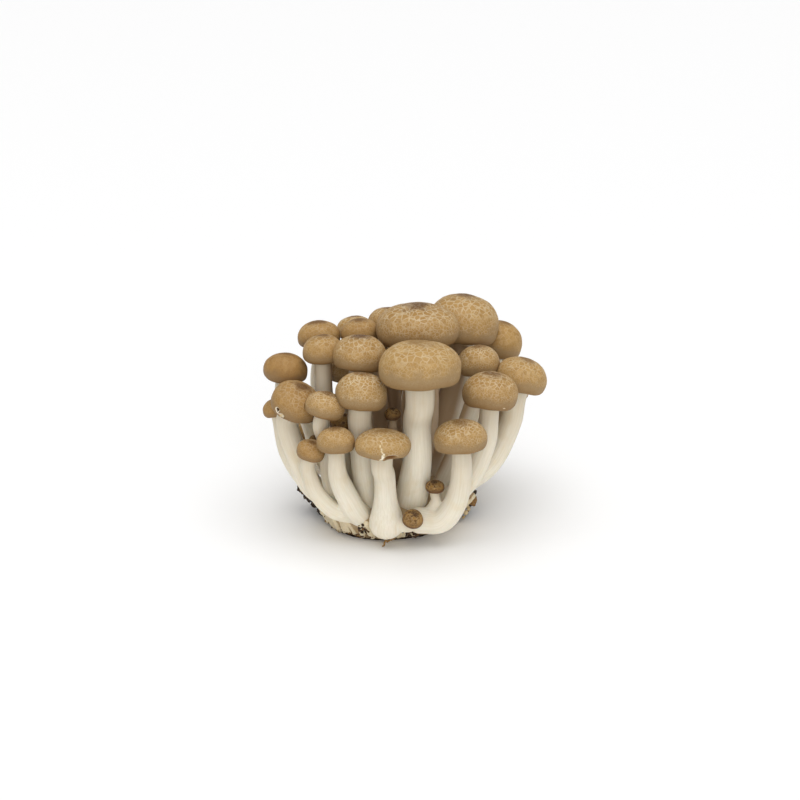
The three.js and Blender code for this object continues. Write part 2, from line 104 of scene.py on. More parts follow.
# %% The table of mushrooms
# name, tuft, middle of the cap, width, lean, plump, skirt,
#  points of the stem, thickness of the stem
TABLE = [
    ("front_middle", "front_middle", (-4.8, -32, 41.5), 19.2, (0.05, 0.1), 0.53, 0.26,
     ((-3.8, -25.2, 8.4), (-4, -27, 18), (-4.4, -29.5, 29)), (12.4, 7.8, 6.8)),
    ("front_right", "front_right", (21.7, -28, 42.4), 18.2, (-0.06, 0.06), 0.68, 0.4,
     ((7.4, -23.6, 9.4), (15.6, -25.6, 10.4), (20.9, -26, 19)), (9.4, 8, 6.6)),
    ("front_left", "front_left", (-20.8, -29.4, 41.4), 13.2, (0, 0.12), 0.76, 0.41,
     ((-13, -20.5, 10), (-15.8, -25.4, 16), (-20.2, -28.6, 28)), (8.6, 7.6, 5.4)),
    ("front_big", "front_big", (7.7, -22, 65.6), 28.6, (0, 0.13), 0.65, 0.38,
     ((4.8, -14.5, 12), (7, -18.5, 30), (6.9, -21, 46)), (12, 9.8, 10.4)),
    ("low_left", "front_left", (-29.8, -26, 36.6), 10, (0.25, -0.1), 0.75, 0.4,
     ((-13, -18.5, 9.6), (-22, -23.6, 13.4), (-28.6, -25.8, 22)), (7.4, 6.2, 5.2)),
    ("second_left", "front_left", (-24.8, -21.6, 51.2), 13.8, (0.25, 0.1), 0.76, 0.4,
     ((-13.6, -16.6, 11), (-22.6, -19, 20), (-24.2, -19.8, 36)), (7, 6.4, 5.4)),
    ("left_leaning", "left", (-35.6, -14, 50), 17.6, (0.42, -0.2), 0.81, 0.39,
     ((-17, -11.4, 10), (-29.6, -14.6, 18), (-34.8, -14.4, 29)), (9, 8.4, 7.8)),
    ("second_middle", "second_middle", (-12.3, -20.6, 55.4), 18.2, (0.08, 0.1), 0.85, 0.42,
     ((-9.4, -16, 11), (-11.6, -19, 26), (-12.2, -20, 38)), (8, 9, 8.2)),
    ("right_leaning", "right", (32.5, -14, 53.6), 19.4, (0.04, 0.07), 0.77, 0.42,
     ((17, -13.5, 11), (25.8, -15, 22), (31.4, -14, 36)), (8.4, 7.6, 6.8)),
    ("far_right", "far_right", (44.4, 2, 53.6), 18.6, (0.22, 0.09), 0.81, 0.42,
     ((18, -4.6, 12), (33.5, -2.5, 22), (41.2, 1, 37)), (8.4, 8, 7.6)),
    ("far_left_low", "left", (-42.9, -4.6, 44.4), 10.4, (-0.2, 0), 0.68, 0.34,
     ((-18.6, -9.4, 11), (-31.2, -9.6, 17), (-39.6, -6.4, 28)), (8, 6.2, 5.4)),
    ("far_left_high", "far_left", (-40, 0.5, 57), 15.8, (0.1, 0.1), 0.8, 0.4,
     ((-18.6, 0, 12), (-28, 1, 25), (-33.4, 4, 39)), (7.4, 6.6, 5.8)),
    ("third_left", "third_left", (-26.3, -1.6, 64.6), 14.6, (0, 0.07), 0.86, 0.41,
     ((-13, -6, 12), (-23.2, -6.4, 29), (-26, -3, 48)), (7, 6.8, 6.2)),
    ("third_middle", "third_middle", (-13.1, -7.4, 65.2), 19.2, (0.05, 0.09), 0.76, 0.42,
     ((-7, -4, 13), (-11.6, -6.4, 32), (-13, -7.4, 50)), (8, 8, 7)),
    ("centre_big", "centre_big", (7.2, 7.6, 70.6), 29.6, (0, 0.07), 0.6, 0.34,
     ((5.6, 1, 13), (9.4, 3, 34), (9, 5.5, 54)), (10, 11, 10.6)),
    ("right_small", "far_right", (29.3, 5.5, 58.1), 15.4, (-0.08, 0.07), 0.83, 0.45,
     ((15.6, -3, 12.6), (21.6, -0.4, 26), (27.4, 3.6, 42)), (7.4, 7, 6.2)),
    ("back_right_big", "back_right_big", (24.2, 25, 66.6), 27, (0.12, 0.14), 0.85, 0.36,
     ((12, 9, 12), (18.6, 15, 34), (22.4, 20, 50)), (9.6, 10.6, 10)),
    ("behind_left", "fourth_middle", (-17.8, 6.8, 55), 15, (0, 0), 0.75, 0.4,
     ((-9, 6, 13), (-14.8, 7, 26), (-17.4, 6.8, 41)), (7, 6.6, 5.8)),
    ("fourth_left", "fourth_left", (-28.4, 13.5, 65.7), 15.4, (-0.05, 0.05), 0.75, 0.4,
     ((-17, 7, 13), (-26.4, 11, 28), (-29, 13.4, 48)), (7, 6.6, 6)),
    ("fourth_middle", "fourth_middle", (-13.6, 13.4, 66.9), 14.4, (-0.1, 0.05), 0.75, 0.4,
     ((-5.6, 8.6, 13), (-6.2, 13, 34), (-9, 15, 54)), (6.6, 6.6, 5.8)),
    ("right_back", "right_back", (38.3, 31, 57.8), 17.6, (0.25, 0.1), 0.95, 0.5,
     ((18.6, 9, 12), (29, 18, 28), (35.4, 25, 45)), (7.6, 7, 6.2)),
    ("fifth_middle", "fifth_middle", (-3.4, 25, 67.4), 15.6, (-0.05, 0.1), 0.75, 0.4,
     ((-1, 15, 12), (-1.8, 20, 36), (-3.2, 23, 54)), (7.6, 7, 6.2)),
    ("fifth_left", "fourth_middle", (-15.9, 27, 64.4), 13.4, (-0.1, 0.15), 0.75, 0.4,
     ((-8.4, 10.4, 13), (-14.4, 18, 30), (-17, 24, 50)), (7, 6.6, 5.8)),
    ("sixth_middle", "fifth_middle", (3.8, 36.4, 64.4), 16.4, (0.05, 0.15), 0.75, 0.4,
     ((2.6, 17.4, 13), (4.6, 26, 32), (6, 33, 50)), (7.6, 7.2, 6.4)),
    ("back_middle", "back_left", (-11, 39, 50), 17, (-0.1, 0.2), 0.75, 0.4,
     ((-8, 21, 12.6), (-10, 29.4, 22), (-10.6, 35.6, 36)), (8.4, 7.6, 6.6)),
    ("back_left", "back_left", (-24, 31, 30), 12.6, (-0.15, 0.2), 0.75, 0.4,
     ((-10.6, 20.4, 12.6), (-19.8, 26.4, 14.6), (-23.2, 29.8, 21.4)), (7.6, 6, 5)),
    ("left_back", "fourth_left", (-37, 14, 28.4), 11, (-0.2, 0.1), 0.75, 0.4,
     ((-17, 8, 13.4), (-29, 12, 14.8), (-35, 13.6, 20.6)), (6.8, 5.4, 4.4)),
    ("back_right", "back", (15.4, 43.6, 52), 16.6, (0.05, 0.25), 0.75, 0.4,
     ((6.4, 22.4, 12.4), (11.4, 31.6, 21), (14, 39.6, 36)), (8, 7.4, 6.4)),
    ("back_low", "back", (2.6, 42.4, 34.4), 12.8, (0, 0.25), 0.75, 0.4,
     ((4.4, 22, 12.4), (2.8, 32.4, 14.8), (2.4, 38.6, 22.6)), (7.6, 6.2, 5)),
    ("right_back_middle", "back_right", (34.4, 38, 48), 15.4, (0.15, 0.2), 0.75, 0.4,
     ((14, 15, 12), (25.6, 27.4, 19), (32.6, 35.2, 33)), (8, 7, 6)),
    ("back_right_low", "back_right", (22.4, 40.6, 31.6), 12, (0.1, 0.25), 0.75, 0.4,
     ((12.6, 17.6, 11.6), (18, 31, 13.4), (21, 37.8, 20)), (7, 6, 4.8)),
    ("right_low", "right_back", (42.4, 17, 44.6), 13.4, (0.25, 0.05), 0.75, 0.4,
     ((19.4, 6.6, 12), (33, 12, 18), (40, 15.6, 30)), (7.6, 6.4, 5.4)),
    ("pin_inner", "centre_big", (-1.6, -8.4, 43.4), 6, (0, 0), 0.8, 0.4,
     ((2, -2, 15), (-0.6, -6, 26), (-1.4, -8, 34)), (5, 3.8, 3.2)),
    ("pin_right", "front_right", (13.2, -23.4, 22.2), 6.8, (0, -0.05), 0.6, 0.4,
     ((10.6, -22, 11), (12.6, -23, 14), (13.6, -23.4, 18)), (5, 4, 3.2)),
    ("pin_front", "front_middle", (5.4, -31, 13.2), 7.2, (0.2, -0.6), 0.95, 0.4,
     ((-1.4, -25.6, 8.6), (1.8, -27.4, 9.4)), (6, 5, 4.2)),
    ("pin_left", "third_left", (-28.2, -14.4, 35.4), 6.6, (0, 0), 0.75, 0.4,
     ((-16, -6.8, 15), (-24.4, -10.6, 22), (-27.6, -14, 29)), (4.6, 3.8, 3.2)),
    ("pin_behind", "third_left", (-19.4, -12.8, 42), 8.6, (0, 0), 0.75, 0.4,
     ((-13, -7, 14), (-18, -10.4, 25), (-19.2, -12.4, 34)), (5, 4.2, 3.6)),
]


class Mushroom:
    """One mushroom of the bunch, in millimetres."""

    def __init__(self, name, tuft, at, across, lean, plump, skirt, path, thick):
        self.name, self.tuft, self.path, self.thick = name, tuft, path, thick
        self.at = Vector(at)
        self.radius = across / 2
        self.height = self.radius * plump
        self.skirt = self.radius * skirt
        self.axis = Vector((*lean, 1)).normalized()
        self.turn = Vector((0, 0, 1)).rotation_difference(self.axis).to_matrix()
        self.seat = self.skirt - 0.18 * self.radius
        self.pin = name.startswith("pin_")
        self.seed = sum(ord(letter) * (i + 3) for i, letter in enumerate(name))

    def out(self, points):
        """Points made round the cap's own axis, moved to where the cap is."""
        return points @ np.array(self.turn).T + np.array(self.at)

    def back(self, points):
        """The opposite: points of the bunch, seen from the cap's own axis."""
        return (points - np.array(self.at)) @ np.array(self.turn)


MUSHROOMS = [Mushroom(*row) for row in TABLE]
print("mushrooms:", len(MUSHROOMS), "of which pinheads:", sum(m.pin for m in MUSHROOMS))

# %% [markdown]
# ## Making a mesh and a material
# A few small helpers serve all pieces. One turns points in millimetres and faces into an object
# that sits at the origin, with its numbers for each point kept as named attributes. Another adds
# one node to a tree, with its settings and with what feeds it.


# %% Helper: a piece from points and faces
def new_piece(name, points, faces, attributes=None, smooth=True):
    mesh = bpy.data.meshes.new(name)
    mesh.from_pydata((np.asarray(points) * MM).tolist(), [], faces)
    for key, values in (attributes or {}).items():
        values = np.asarray(values, dtype=np.float32)
        kind, field = ("FLOAT", "value") if values.ndim == 1 else ("FLOAT_VECTOR", "vector")
        mesh.attributes.new(key, kind, "POINT").data.foreach_set(field, values.ravel())
    mesh.polygons.foreach_set("use_smooth", [smooth] * len(mesh.polygons))
    return placed(name, mesh)


def together(shapes):
    """One list of points and one of faces, from several shapes."""
    points, faces = [], []
    for some_points, some_faces in shapes:
        faces += [tuple(v + len(points) for v in face) for face in some_faces]
        points += list(some_points)
    return np.array(points), faces


# %% Helpers: vectors of a mesh, and noise
def vectors(items, field):
    """One vector of each item of a mesh, as rows of numbers."""
    flat = np.empty(3 * len(items))
    items.foreach_get(field, flat)
    return flat.reshape(-1, 3)


def noise_at(points, size=1):
    """Smooth noise at each point; its bumps are about as wide as the size."""
    return np.array([noise.noise(Vector(p) / size) for p in points])


# %% Helper: one node of a tree
FAMILIES = ("ShaderNode", "GeometryNode", "FunctionNode", "Node")
CHOICES = ("operation", "interpolation_type", "feature", "data_type")
# kinds of node that are used often
PLUS, TIMES, TIMES_PLUS = "Math ADD", "Math MULTIPLY", "Math MULTIPLY_ADD"
STEP, MIX = "MapRange SMOOTHSTEP", "Mix RGBA"


def add(tree, kind, *values, stops=(), **named):
    """Adds a node. A second word in its kind is its main choice. Values feed its inputs in order.
    Of the named values, one with a capital letter feeds an input and any other is a setting. A
    node as a value stands for its first output, and a colour is written as hex."""
    kind, _, choice = kind.partition(" ")
    node = tree.nodes.new(next(f + kind for f in FAMILIES if hasattr(bpy.types, f + kind)))
    settings = {key: value for key, value in named.items() if key[0].islower()}
    if choice:
        settings[next(c for c in CHOICES if hasattr(node, c))] = choice
    for key, value in settings.items():
        setattr(node, key, value)
    for i, (place, code) in enumerate(stops):
        elements = node.color_ramp.elements
        stop = elements[i] if i < 2 else elements.new(place)
        stop.position, stop.color = place, linear(code)
    usable = [socket for socket in node.inputs if socket.enabled]
    by_name = {socket.name.replace(" ", "_"): socket for socket in usable[::-1]}
    feeds = [(by_name[key], value) for key, value in named.items() if key not in settings]
    for socket, value in [*zip(usable, values), *feeds]:
        if isinstance(value, bpy.types.Node):
            value = next(s for s in value.outputs if s.enabled)
        if isinstance(value, bpy.types.NodeSocket):
            tree.links.new(value, socket)
        else:
            socket.default_value = linear(value) if str(value).startswith("#") else value
    return node


def linear(code):
    """A colour written as sRGB hex, in the linear numbers that light is worked out in."""
    channels = [int(code[i : i + 2], 16) / 255 for i in (1, 3, 5)]
    return [c / 12.92 if c <= 0.04045 else ((c + 0.055) / 1.055) ** 2.4 for c in channels] + [1]


def new_material(name):
    """An empty material, and the helper that adds nodes to it."""
    material = bpy.data.materials.new(name)
    material.use_nodes = True
    material.node_tree.nodes.clear()
    return material, partial(add, material.node_tree)


# %% [markdown]
# ## Smooth lines
# Stems bend gently and a rim rolls in on one soft curve. Both are drawn as a smooth line through a
# few points. The centripetal kind is used because it doesn't loop or overshoot between points that
# stand unevenly.


# %% Helper: a smooth line through points
def smooth_line(points, count):
    """Count points at equal steps along the smooth line through the given points."""
    p = [Vector(v) for v in points]
    p = [2 * p[0] - p[1], *p, 2 * p[-1] - p[-2]]
    fine = []
    for a, b, c, d in zip(p, p[1:], p[2:], p[3:]):
        before, here, after = ((w - v).length ** 0.5 for v, w in ((a, b), (b, c), (c, d)))
        start = ((b - a) / before - (c - a) / (before + here) + (c - b) / here) * here
        end = ((c - b) / here - (d - b) / (here + after) + (d - c) / after) * here
        for t in np.arange(0, 1, 1 / 30):
            fine.append(
                b * (2 * t**3 - 3 * t**2 + 1) + start * (t**3 - 2 * t**2 + t)
                + c * (3 * t**2 - 2 * t**3) + end * (t**3 - t**2)
            )
    fine = np.array([*fine, p[-2]])
    along = np.concatenate([[0], np.cumsum(np.linalg.norm(np.diff(fine, axis=0), axis=1))])
    wanted = np.linspace(0, along[-1], count)
    return np.stack([np.interp(wanted, along, fine[:, k]) for k in range(3)], axis=1)


# %% [markdown]
# ## A cap
# A cap is a round dome, and while it is young its margin stays rolled in. It is made like a pot on
# a wheel: one profile runs from the top over the rim and up to the roof above the gills, and is
# turned round the cap's axis. Real caps aren't quite round, their rims dip and rise a little and
# their skin has shallow dents, so the turned shape is disturbed by slow waves and by noise.

# %% The profile of a cap
AROUND = 120
DOME_STEPS = 36
RIM_STEPS = 19
SEEN = 1.6  # parts up to here can be seen from outside
# distance from the axis as a share of the radius, and height as a share of the skirt
RIM = [
    (1, 0), (0.994, -0.28), (0.972, -0.56), (0.93, -0.8), (0.872, -0.955), (0.822, -1),
    (0.79, -0.92), (0.78, -0.68),
]
ROOF = (0.77, 0.7, 0.5, 0.3, 0.12)


def edge_height(m, distance):
    """Height of the gills' lower edge at a distance from the axis."""
    collar = m.thick[2] / 2
    return float(np.interp(distance, [collar, 0.8 * m.radius], [-m.seat, -0.84 * m.skirt]))


def roof_height(m, distance):
    """Height of the flesh that the gills hang from."""
    return -0.8 * m.skirt if m.pin else edge_height(m, distance) + 0.2 * m.radius


def cap_profile(m):
    """Rows of distance from the axis, height and part: 0 to 1 is the dome, then rim and roof."""
    rows = []
    square = 0.88 if m.radius > 12 else 0.93  # below 1 the dome is fuller than a ball
    for i in range(DOME_STEPS + 1):
        a = math.pi / 2 * i / DOME_STEPS
        out, up = math.sin(a) ** square, max(0, math.cos(a)) ** square
        rows.append((m.radius * out, m.height * up, i / DOME_STEPS))
    rim = smooth_line([(m.radius * x, m.skirt * z, 0) for x, z in RIM], RIM_STEPS + 1)
    rows += [(x, z, 1 + (i + 1) / RIM_STEPS) for i, (x, z, _) in enumerate(rim[1:])]
    rows += [(share * m.radius, roof_height(m, share * m.radius), 2.8 - share) for share in ROOF]
    return rows


# %% [markdown]
# ### Where caps press on each other
# In a tight bunch the caps touch, and the younger one gives way: its side is flattened against its
# neighbour. A boolean cut would leave a sharp edge, so the points that lie inside the neighbour are
# moved out to its surface instead, sideways or up, whichever is nearer.


# %% Caps give way to their neighbours
def press_out(points, other, gap):
    """Moves points that are inside another cap out to just above its skin."""
    local = other.back(points)
    distance, z = np.hypot(local[:, 0], local[:, 1]), local[:, 2]
    outside = [row[:2] for row in cap_profile(other) if row[2] <= SEEN]
    radii, heights = np.array(outside[::-1]).T
    limit = np.interp(z, heights, radii, left=0, right=0) + gap
    dome = slice(len(radii) - DOME_STEPS - 1, None)
    top = np.interp(distance, radii[dome][::-1], heights[dome][::-1]) + gap
    inside = (distance < limit) & (z < top) & (z > -other.skirt)
    upward = inside & (top - z < limit - distance)
    sideways = inside & ~upward
    local[upward, 2] = top[upward]
    local[sideways, :2] *= (limit[sideways] / np.maximum(distance[sideways], 0.01))[:, None]
    return other.out(local)


# %% [markdown]
# ### Torn rims
# Three rims tore as the bunch was handled. A tear is a bite: the points inside a small egg-shaped
# room at the rim move inwards, to the far wall of that room. Beside the bite in front a crack runs
# up the dome; it is a groove, and shows the pale flesh below the skin.

# %% Bites and the crack
# cap, middle and size of the room, how deep its middle shows as a dark hole in painted shade
TEARS = [
    ("front_middle", (-1.1, -42, 39.4), (7.6, 3.8, 4.2), 0),
    ("left_leaning", (-41.6, -21.4, 49.9), (2.2, 3.4, 2.1), 1),
    ("left_leaning", (-39.9, -21.2, 47.9), (2.8, 2.2, 2), 0.1),
    ("right_leaning", (37.1, -22.6, 50.9), (1.2, 1.4, 0.6), 0.1),
]
CRACK = {"cap": "front_middle", "x": -5.0, "half": 0.42, "top": 45.4, "depth": 0.4}
NOTCH = {"x": -1.3, "half": 2.6, "top": 41.4, "fade": 1.6, "rise": 0.9}


def bitten(m, points, flesh, shade):
    """Makes the bites of one cap."""
    for _, at, size, hole in (row for row in TEARS if row[0] == m.name):
        half = np.array(size) / 2
        local = (points - np.array(at)) / half
        inwards = (np.array(m.at) - np.array(at)) / half
        inwards /= np.linalg.norm(inwards)
        before = np.linalg.norm(local, axis=1)
        along, room = local @ inwards, before**2 - 1
        step = -along + np.sqrt(np.maximum(along**2 - room, 0))
        local[room < 0] += step[room < 0, None] * inwards
        if hole:
            ragged = before * (1 + 0.45 * noise_at(points, 0.9))
            # painted shade: the middle of a hole is marked dark
            deep = 2 * hole * np.clip(1.7 - 1.7 * ragged, 0, 1)
            flesh = np.maximum(flesh, deep + 0.75 * (ragged < 0.95))
        else:
            lip = 0.55 * np.clip(1 - np.abs(before - 1) / 0.16, 0, 1)
            flesh = np.maximum(flesh, lip * np.clip(2 * local[:, 2] + 0.3, 0, 1))
            # painted shade in the recess that the bite pushes in
            shade = np.maximum(shade, np.clip(2.4 - 2.4 * before, 0, 1))
        points = local * half + np.array(at)
    return points, flesh, shade


def torn(m, points):
    """The points with the tears in them, and the state of the skin: 1 is pale flesh, 2 painted
    shade in a hole, and -1 skin that is folded in, darkened with painted shade."""
    points, flesh, shade = bitten(m, points, *np.zeros((2, len(points))))
    if m.name == CRACK["cap"]:
        x, y, z = points.T
        wander = CRACK["x"] + 0.5 * np.sin(1.1 * z) + 0.2 * np.sin(4.1 * z)
        width = CRACK["half"] * np.clip((CRACK["top"] - z) / 4, 0.4, 1.3)
        line = np.clip(1.4 - np.abs(x - wander) / width, 0, 1) * (y < m.at.y) * (z < CRACK["top"])
        points = points + line[:, None] * CRACK["depth"] * np.array((0, 0.9, 0.3))
        flesh = np.maximum(flesh, line)
        x, y, z = points.T
        raised = np.exp(-(((x - NOTCH["x"]) / NOTCH["half"]) ** 4)) * (y < m.at.y)
        lifted = np.clip((NOTCH["top"] - z) / NOTCH["fade"], 0, 1)
        points[:, 2] += NOTCH["rise"] * raised * lifted
    return points, np.where(flesh > 0.05, flesh, -shade)


# %% Uneven caps
# waves round the rim, and their height as a share of the radius
OUT_OF_ROUND = ((2, 0.016), (3, 0.011), (5, 0.006))
DROOP = ((2, 0.02), (3, 0.015), (7, 0.006))
DENTS = ((0.22, 5.5), (0.07, 2.1))  # depth and width
# Rims that hang lower on one side: which way, and by how many millimetres
HANGING = {"back_right_big": (math.radians(225), 1.3), "front_middle": (math.radians(235), 1.0)}


def cap_points(m):
    """Points of a cap, and the part of the profile that each belongs to."""
    rng = np.random.default_rng(m.seed)
    turn = np.linspace(0, 2 * math.pi, AROUND, endpoint=False)

    def wave(times, size):
        return size * np.cos(times * turn + rng.uniform(0, 6.28))

    out_of_round = sum(wave(*row) for row in OUT_OF_ROUND)
    droop = sum(wave(times, share * m.radius) for times, share in DROOP)
    if m.name in HANGING:
        way, amount = HANGING[m.name]
        droop = droop - amount * (0.5 + 0.5 * np.cos(turn - way)) ** 1.5
    points, parts = [(0, 0, m.height)], [0]
    for distance, z, part in cap_profile(m)[1:]:
        weight = min(part, 1) ** 2 * (1 if part < 2 else 0.6)
        reach = distance * (1 + weight * out_of_round)
        points += zip(reach * np.cos(turn), reach * np.sin(turn), z + weight * droop)
        parts += [part] * AROUND
    points, parts = np.array([*points, (0, 0, roof_height(m, 0))]), np.array([*parts, 3])
    points = m.out(points)
    outward = points - np.array(m.at - 0.5 * m.height * m.axis)
    outward /= np.linalg.norm(outward, axis=1)[:, None]
    dents = sum(depth * noise_at(points, width) for depth, width in DENTS)
    return points + outward * (dents * (parts < 2))[:, None], parts


def ring_faces(rings, around):
    """Faces of a closed skin: a point, rings of points, and a last point."""
    faces = []
    for j in range(around):
        k = (j + 1) % around
        faces.append((0, 1 + j, 1 + k))
        for i in range(rings - 1):
            a, b = 1 + i * around, 1 + (i + 1) * around
            faces.append((a + j, b + j, b + k, a + k))
        last = 1 + (rings - 1) * around
        faces.append((last + k, last + j, 1 + rings * around))
    return faces


# %% The caps
CONTACT = 0.12
FULL_GROWN = 14  # radius at which the net of the skin has its full size
# How dark a cap is, how clear its marbling and how brown its crown
TONE = {
    "far_left_high": (0.95, 0.15, 0.6), "left_leaning": (0.75, 0.5, 0.9),
    "low_left": (0.8, 0.5, 0.8), "far_left_low": (0.8, 0.25, 0.7),
    "front_big": (0.15, 0.6, 0.35), "front_left": (0.4, 0.6, 0.7),
    "front_middle": (0.25, 0.7, 0.3), "right_back": (0.35, 0.3, 0.6),
    "centre_big": (0.5, 0.95, 0.9), "back_right_big": (0.35, 0.75, 0.8),
    "front_right": (0.35, 0.85, 0.6), "third_left": (0.45, 0.5, 0.8),
    "far_right": (0.25, 0.6, 0.6), "fourth_left": (0.6, 0.4, 0.8),
    "fourth_middle": (0.6, 0.4, 0.8), "second_middle": (0.35, 1.0, 0.8),
    "third_middle": (0.45, 0.85, 1.0),
}
CAP_FACES = ring_faces(DOME_STEPS + RIM_STEPS + len(ROOF), AROUND)
caps = {}
for i, m in enumerate(MUSHROOMS):
    points, parts = cap_points(m)
    for other in MUSHROOMS[:i]:
        if (m.at - other.at).length < 1.1 * (m.radius + other.radius):
            points = press_out(points, other, CONTACT)
    points, flesh = torn(m, points)
    looks = TONE.get(m.name, (0.35 + 0.2 * math.sin(m.seed), 0.85, 0.8))
    fineness = 1 / (0.25 + 0.75 * min(m.radius, FULL_GROWN) / FULL_GROWN)
    marks = {"part": parts, "torn": flesh}
    for key, value in zip(("tone", "marbling", "crown", "fineness"), (*looks, fineness)):
        marks[key] = np.full(len(parts), value)
    caps[m.name] = new_piece("skin_" + m.name, points, CAP_FACES, marks)
print("caps:", len(caps), "with", len(CAP_FACES), "faces each")

# %% [markdown]
# ## The gills
# Under a cap, thin plates run from the stem out to the rim. Not all reach the stem: between two
# long ones there is one of middle length, and a short one beside each of those. Geometry Nodes lay
# them out, because only their number and lengths change from cap to cap. One plate is a box that is
# bent to its outline; copies of it are turned round the axis, then the whole set is made uneven.


# %% Helper: a tree with named inputs
def new_tree(name, **inputs):
    """A tree of Geometry Nodes, the helper that adds nodes to it, and its inputs."""
    tree = bpy.data.node_groups.new(name, "GeometryNodeTree")
    kinds = {int: "NodeSocketInt", float: "NodeSocketFloat"}
    for way in ("INPUT", "OUTPUT"):
        tree.interface.new_socket("Geometry", in_out=way, socket_type="NodeSocketGeometry")
    for key, value in inputs.items():
        socket = tree.interface.new_socket(key, in_out="INPUT", socket_type=kinds[type(value)])
        socket.default_value = value
    tree.interface.new_socket("Material", in_out="INPUT", socket_type="NodeSocketMaterial")
    return tree, partial(add, tree), add(tree, "GroupInput").outputs


# %% The tree that makes the gills
# where a plate begins, how many there are for each long one, and how far of a step it is turned
PLATES = ((0, 1, 0.0), (0.32, 1, 0.5), (0.62, 2, 0.25))


def gill_tree():
    tree, node, given = new_tree(
        "gills under a cap", Inner=3 * MM, Outer=7 * MM, Seat=-2 * MM, Brim=-3.2 * MM,
        Depth=1.8 * MM, Thickness=0.22 * MM, Count=16, Seed=1,
    )
    place = node("InputPosition")
    box = node("SeparateXYZ", place).outputs
    u = node(PLUS, box["X"], 0.5)  # 0 at the stem, 1 at the rim
    v = node(PLUS, box["Z"], 0.5)  # 0 at the lower edge, 1 at the flesh
    span = node("Math SUBTRACT", given["Outer"], given["Inner"])
    index = node("InputIndex")
    everything = node("JoinGeometry")
    for begin, times, shift in PLATES:
        share = node(TIMES_PLUS, u, 1 - begin, begin)
        distance = node(TIMES_PLUS, share, span, given["Inner"])
        edge = node("MapRange", share, To_Min=given["Seat"], To_Max=given["Brim"])
        taper = node("MapRange SMOOTHERSTEP", u, From_Max=0.45 if begin else 0.02)
        gone = node(TIMES, node("Math SUBTRACT", 1, v), node("Math SUBTRACT", 1, taper))
        height = node(TIMES_PLUS, node(PLUS, v, gone), given["Depth"], edge)
        thick = node(TIMES, given["Thickness"], node(TIMES_PLUS, v, 0.5, 0.6))
        outline = node("CombineXYZ", distance, node(TIMES, box["Y"], thick), height)
        cube = node("MeshCube", Vertices_X=8, Vertices_Y=2, Vertices_Z=2)
        plate = node("SetPosition", cube, Position=outline)
        number = node(TIMES, given["Count"], times)
        jitter = node("RandomValue", Min=-0.16, Max=0.16, ID=index, Seed=given["Seed"])
        step = node(PLUS, node(PLUS, index, shift * times), jitter)
        turn = node("CombineXYZ", Z=node("Math DIVIDE", node(TIMES, step, 2 * math.pi), number))
        spots = node("Points", number)
        plates = node("InstanceOnPoints", spots, Instance=plate, Rotation=turn)
        tree.links.new(plates.outputs[0], everything.inputs[0])
    where = node("VectorMath MULTIPLY", place, (1 / (3 * MM),) * 3)
    waves = {"W": given["Seed"], "Scale": 1.0, "Detail": 1.0}
    uneven = node("TexNoise", where, noise_dimensions="4D", **waves).outputs["Color"]
    centred = node("VectorMath SUBTRACT", uneven, (0.5,) * 3)
    shift = node("VectorMath SCALE", centred, 0.7 * MM)
    wavy = node("SetPosition", node("RealizeInstances", everything), Offset=shift)
    node("GroupOutput", node("SetMaterial", wavy, Material=given["Material"]))
    return tree


# %% Helper: running a tree
def grown(name, tree, base=None, **values):
    """The plain mesh that a tree makes from a base mesh with the given inputs."""
    holder = placed(name, base or bpy.data.meshes.new(name))
    modifier = holder.modifiers.new(name, "NODES")
    modifier.node_group = tree
    sockets = {s.name: s.identifier for s in tree.interface.items_tree if s.in_out == "INPUT"}
    for key, value in values.items():
        modifier[sockets[key]] = value
    depsgraph = bpy.context.evaluated_depsgraph_get()
    mesh = bpy.data.meshes.new_from_object(holder.evaluated_get(depsgraph))
    bpy.data.objects.remove(holder)
    return mesh


def joined(name, meshes, finish):
    """One piece from several meshes, all with one finish."""
    whole = bmesh.new()
    for mesh in meshes:
        whole.from_mesh(mesh)
        bpy.data.meshes.remove(mesh)
    result = bpy.data.meshes.new(name)
    whole.to_mesh(result)
    whole.free()
    result.materials.append(finish)
    result.polygons.foreach_set("material_index", [0] * len(result.polygons))
    return placed(name, result)


# %% The gills of every open cap
GILLS = gill_tree()
gills_finish, gills_node = new_material("pale gill flesh")
meshes = []
for m in (m for m in MUSHROOMS if not m.pin):
    inner, outer = m.thick[2] / 2 - 0.3, 0.81 * m.radius
    mesh = grown(
        "gills", GILLS, Inner=inner * MM, Outer=outer * MM, Seat=edge_height(m, inner) * MM,
        Brim=edge_height(m, outer) * MM, Depth=0.21 * m.radius * MM, Thickness=0.24 * MM,
        Count=round(10 + m.radius), Seed=m.seed, Material=gills_finish,
    )
    mesh.transform(Matrix.Translation(m.at * MM) @ m.turn.to_4x4())
    meshes.append(mesh)
gills = joined("gills", meshes, gills_finish)
print("gill faces:", len(gills.data.polygons))

# %% [markdown]
# ## The stems
# A stem is a firm round stalk, thickest near its root, that bends to bring its cap to the light.
# The stems of one tuft grow out of each other, so their tubes are fused: a voxel remesh turns the
# crossing tubes into one closed skin, and a few rounds of smoothing round the hollows between
# them, as living tissue does. Each point then learns where it is on its own stem, across and
# along, because the fibres of the flesh follow the stem.


# %% Helper: a tube along a line
def frames_along(line):
    """The line's direction and two directions across it at each of its points, without twist."""
    ahead = np.gradient(line, axis=0)
    ahead /= np.linalg.norm(ahead, axis=1)[:, None]
    across = [np.cross(ahead[0], (0.3, 0.9, 0.1))]
    for direction in ahead[1:]:
        across.append(across[-1] - direction * np.dot(across[-1], direction))
    across = np.array(across)
    across /= np.linalg.norm(across, axis=1)[:, None]
    return ahead, across, np.cross(ahead, across)


